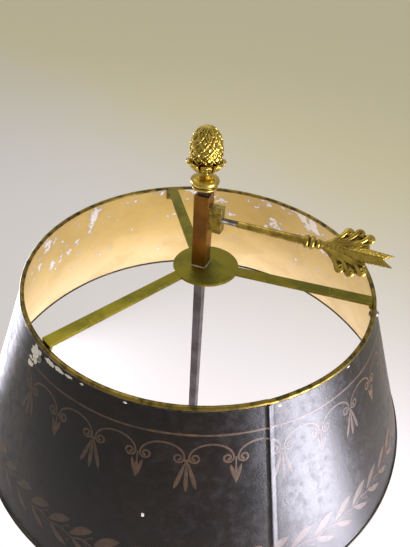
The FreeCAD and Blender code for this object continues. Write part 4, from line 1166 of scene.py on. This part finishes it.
def makeLeafCup():
    last = cup["rows"] - 1
    rows = [cupRow(k / last * 1.6) for k in range(cup["rows"])]
    rows.append(lambda share: (0.0052, 0.0035))
    rows.insert(0, lambda share: (0.0030, 0.0003))
    points, faces = revolveRows(rows, cup["columns"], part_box("finial_leaf_cup")[0].z)
    makePiece("leaf_cup", points, faces, [finishes["finialGilt"]], "stand",
              ("finial_leaf_cup",), sharp=75)


cone = {
    "radius": 0.0129,
    "height": 0.0314,
    "fullest": 0.36,
    "cells": 9,
    "tiers": 3.5,
    "depth": 0.0015,
    "columns": 288,
    "rows": 110,
}


def coneRadius(t):
    # egg shape: full at a third of its height, closed round at the top
    full = cone["fullest"]
    if t < full:
        return cone["radius"] * (0.66 + 0.34 * math.sin(t / full * math.pi / 2))
    past = (t - full) / (1 - full)
    return cone["radius"] * math.sqrt(max(1 - past ** 2.25, 0)) ** 0.96


def coneRow(t):
    def row(share):
        u = share * cone["cells"]
        v = cone["tiers"] * t ** 0.92
        first = abs((u + v) % 1 - 0.5) * 2
        second = abs((u - v) % 1 - 0.5) * 2
        ridge = max(smoothShare((first - 0.70) / 0.24), smoothShare((second - 0.70) / 0.24))
        groove = max(math.exp(-((first - 0.62) / 0.1) ** 2), math.exp(-((second - 0.62) / 0.1) ** 2))
        lozenge = max(0.0, 1 - max(first, second) / 0.55)
        radius = coneRadius(t)
        fade = smoothShare(radius / cone["radius"] * 2.4)
        radius -= cone["depth"] * fade * (0.75 - 0.75 * ridge + 0.25 * groove - 0.42 * lozenge)
        return max(radius, 0.0002), cone["height"] * t
    return row


def makePineCone():
    full = cone["fullest"]
    shares = [k / (cone["rows"] - 1) for k in range(cone["rows"])]
    shares = [share if share < full else
              full + (1 - full) * math.sin((share - full) / (1 - full) * math.pi / 2) for share in shares]
    shares[-1] = 0.9995
    rows = [coneRow(share) for share in shares]
    points, faces = revolveRows(rows, cone["columns"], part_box("pine_cone")[0].z)
    makePiece("cone_scales", points, faces, [finishes["finialGilt"]], "stand",
              ("pine_cone",), sharp=75)


makeLeafCup()
makePineCone()
print("finial made")


# Finishes of the CAD nodes that stay

nodeFinishes = {
    "spiderBrass": ("spider_hub", "spider_arm_", "arm_tip_"),
    "fastenerSteel": ("tip_screws", "tip_nuts", "tie_washer", "tie_nut"),
    "sleeveBronze": ("slide_sleeve",),
    "blockBrass": ("screw_block", "clamp_pad"),
    "arrowGilt": ("arrow_collar",),
    "rodSteel": ("square_rod", "tie_rod"),
    "finialGilt": ("finial_base",),
    "standBrass": ("base_dish", "gallery_ring", "column_foot", "column_stem", "branch_boss", "upper_stem",
                   "stem_cap", "candle_arm_", "drip_pan_", "candle_cup_"),
    "greenFelt": ("bottom_felt",),
    "ballastIron": ("ballast_disc",),
    "bushPlastic": ("inlet_bush",),
    "candleIvory": ("candle_tube_",),
    "holderPlastic": ("lampholder_", "switch_body"),
    "capBrass": ("bulb_cap_",),
    "bulbGlass": ("bulb_glass_",),
    "leadInsulation": ("lead_wires",),
    "knobBlack": ("switch_knob",),
}
# millimetres, on the nodes whose edges catch the light
edgeWidths = {
    "spider_hub": 0.25, "spider_arm_": 0.25, "arm_tip_": 0.25, "slide_sleeve": 0.25, "screw_block": 0.3,
    "square_rod": 0.3, "tip_screws": 0.1, "tip_nuts": 0.1, "tie_nut": 0.1,
}


def dressNode(name, node, finish):
    node.data.materials.clear()
    node.data.materials.append(finishes[finish])
    for key, width in edgeWidths.items():
        if name.startswith(key):
            weld = node.modifiers.new("weld", "WELD")
            weld.merge_threshold = 0.000002
            rounded = node.modifiers.new("edges", "BEVEL")
            rounded.width = width / 1000
            rounded.segments = 2
            rounded.limit_method = "ANGLE"
            rounded.angle_limit = math.radians(40)
            rounded.harden_normals = True


for finish, starts in nodeFinishes.items():
    for name, node in cadNodes.items():
        if name.startswith(starts):
            dressNode(name, node, finish)
print("CAD nodes finished")


# Filaments inside the candle bulbs

filament = {
    "rise": 0.014,
    "spread": 0.005,
    "foot": 0.0015,
    "coilRadius": 0.0011,
    "arch": 0.004,
    "wire": 0.00012,
    "turns": 9,
    "steps": 12,
}


def makeFilaments():
    parts = []
    for bulb in sorted(name for name in cadNodes if name.startswith("bulb_glass_")):
        low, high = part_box(bulb)
        middle = Vector(((low.x + high.x) / 2, (low.y + high.y) / 2, low.z))
        for side in (-1, 1):
            foot = middle + Vector((side * filament["foot"], 0, 0.0))
            top = middle + Vector((side * filament["spread"], 0, filament["rise"]))
            parts.append(sweepTube([foot, (foot + top) / 2 + Vector((side * 0.0003, 0, 0)), top],
                                   [0.0003, 0.00025, 0.0002], sides=8))
        line = []
        count = filament["turns"] * filament["steps"]
        for k in range(count + 1):
            share = k / count
            turn = share * filament["turns"] * math.tau
            across = filament["spread"] * (share * 2 - 1)
            coil = Vector((0, math.cos(turn), math.sin(turn))) * filament["coilRadius"]
            height = filament["rise"] + filament["arch"] * math.sin(math.pi * share)
            line.append(middle + Vector((across, 0, height)) + coil)
        parts.append(sweepTube(line, [filament["wire"]] * len(line), sides=6))
        stem = [middle + Vector((0, 0, z)) for z in (-0.001, 0.003, 0.008, 0.0095)]
        parts.append(sweepTube(stem, [0.0032, 0.0026, 0.0020, 0.0006], sides=14))
    points, faces = joinParts(parts)
    makePiece("bulb_filaments", points, faces, [finishes["threadSteel"]], "stand")


makeFilaments()
print("filaments made")


# Floor, light and camera

stageLook = {
    "floor": (0.74, 0.715, 0.70),
    "far": (0.76, 0.70, 0.49),
    "world": (1.0, 0.975, 0.93),
    "worldLevel": 0.60,
    "clouds": (1.2, 400.0, 0.3, 0.7),
    "across": (0.49, 1.165),
    "change": (0.55, 2.3),
    "reach": 60.0,
    "sink": 0.0002,
}
lamps = {
    "stripRight": {"at": (0.80, -0.27, 0.35), "aim": (0.13, -0.10, 0.50), "size": (0.38, 0.56),
                   "power": 21.0, "colour": (0.88, 0.86, 1.0)},
    "stripLeft": {"at": (-0.66, 0.16, 0.24), "aim": (-0.12, -0.09, 0.53), "size": (0.30, 0.50),
                  "power": 6.0, "colour": (0.88, 0.86, 1.0)},
    "overhead": {"at": (-0.7, 0.5, 1.9), "aim": (-0.5, 0.8, 0.0), "size": (1.3, 1.3),
                 "power": 7.5, "colour": (1.0, 0.98, 0.94)},
}


def makeStage():
    material, tree, shader = startMaterial("paleFloor", roughness=0.9, specular=0.1)
    patches = addClouds(tree, *stageLook["clouds"])[0]
    place = addNode(tree, "ShaderNodeSeparateXYZ", {"Vector": objectPlace(tree)})
    stepX, stepY = stageLook["across"]
    distance = calculate(tree, "ADD", times(tree, place.outputs["X"], stepX),
                         times(tree, place.outputs["Y"], stepY))
    distance = calculate(tree, "ADD", distance, times(tree, patches, 0.3))
    away = rampBetween(tree, distance, *stageLook["change"])
    colour = blendColour(tree, away, stageLook["floor"], stageLook["far"])
    tree.links.new(colour, shader.inputs["Base Color"])
    reach = stageLook["reach"]
    mesh = bpy.data.meshes.new("pale_floor")
    corners = [(x * reach, y * reach, -stageLook["sink"]) for x, y in ((-1, -1), (1, -1), (1, 1), (-1, 1))]
    mesh.from_pydata(corners, [], [(0, 1, 2, 3)])
    mesh.materials.append(material)
    floor = bpy.data.objects.new("pale_floor", mesh)
    bpy.context.collection.objects.link(floor)
    world = bpy.data.worlds.new("softRoom")
    world.use_nodes = True
    background = world.node_tree.nodes["Background"]
    background.inputs["Color"].default_value = (*stageLook["world"], 1)
    background.inputs["Strength"].default_value = stageLook["worldLevel"]
    bpy.context.scene.world = world


def makeLamps():
    for name, size in lamps.items():
        light = bpy.data.lights.new(name, "AREA")
        light.shape = "RECTANGLE"
        light.size, light.size_y = size["size"]
        light.energy = size["power"]
        light.color = size["colour"]
        lamp = bpy.data.objects.new(name, light)
        lamp.location = size["at"]
        direction = Vector(size["aim"]) - Vector(size["at"])
        lamp.rotation_euler = direction.to_track_quat("-Z", "Y").to_euler()
        lamp.visible_camera = False
        bpy.context.collection.objects.link(lamp)


cameraPlace = {
    "offset": (0.11118, -0.29737, 0.23496),
    "turn": 20.5,
    "yaw": 0.0140,
    "pitch": 0.6550,
    "roll": 0.0619,
    "lens": 29.16,
}


def makeCamera():
    size = cameraPlace
    yaw, pitch, roll = size["yaw"], size["pitch"], size["roll"]
    ahead = Vector((math.sin(yaw) * math.cos(pitch), math.cos(yaw) * math.cos(pitch), -math.sin(pitch)))
    right = Vector((math.cos(yaw), -math.sin(yaw), 0))
    up = right.cross(ahead)
    across = right * math.cos(roll) + up * math.sin(roll)
    upward = up * math.cos(roll) - right * math.sin(roll)
    turned = Matrix((across, upward, -ahead)).transposed().to_4x4()
    data = bpy.data.cameras.new("photo_view")
    data.lens = size["lens"]
    data.sensor_width = 36
    data.sensor_fit = "AUTO"
    camera = bpy.data.objects.new("photo_view", data)
    place = Matrix.Translation(Vector(size["offset"]) + Vector((0, 0, shade["rimHeight"])))
    camera.matrix_world = place @ Matrix.Rotation(math.radians(size["turn"]), 4, "Z") @ turned
    bpy.context.collection.objects.link(camera)
    bpy.context.scene.camera = camera


makeStage()
makeLamps()
makeCamera()
bpy.context.scene.view_settings.view_transform = "Standard"
print("stage, lamps and camera made")

bpy.context.view_layer.update()
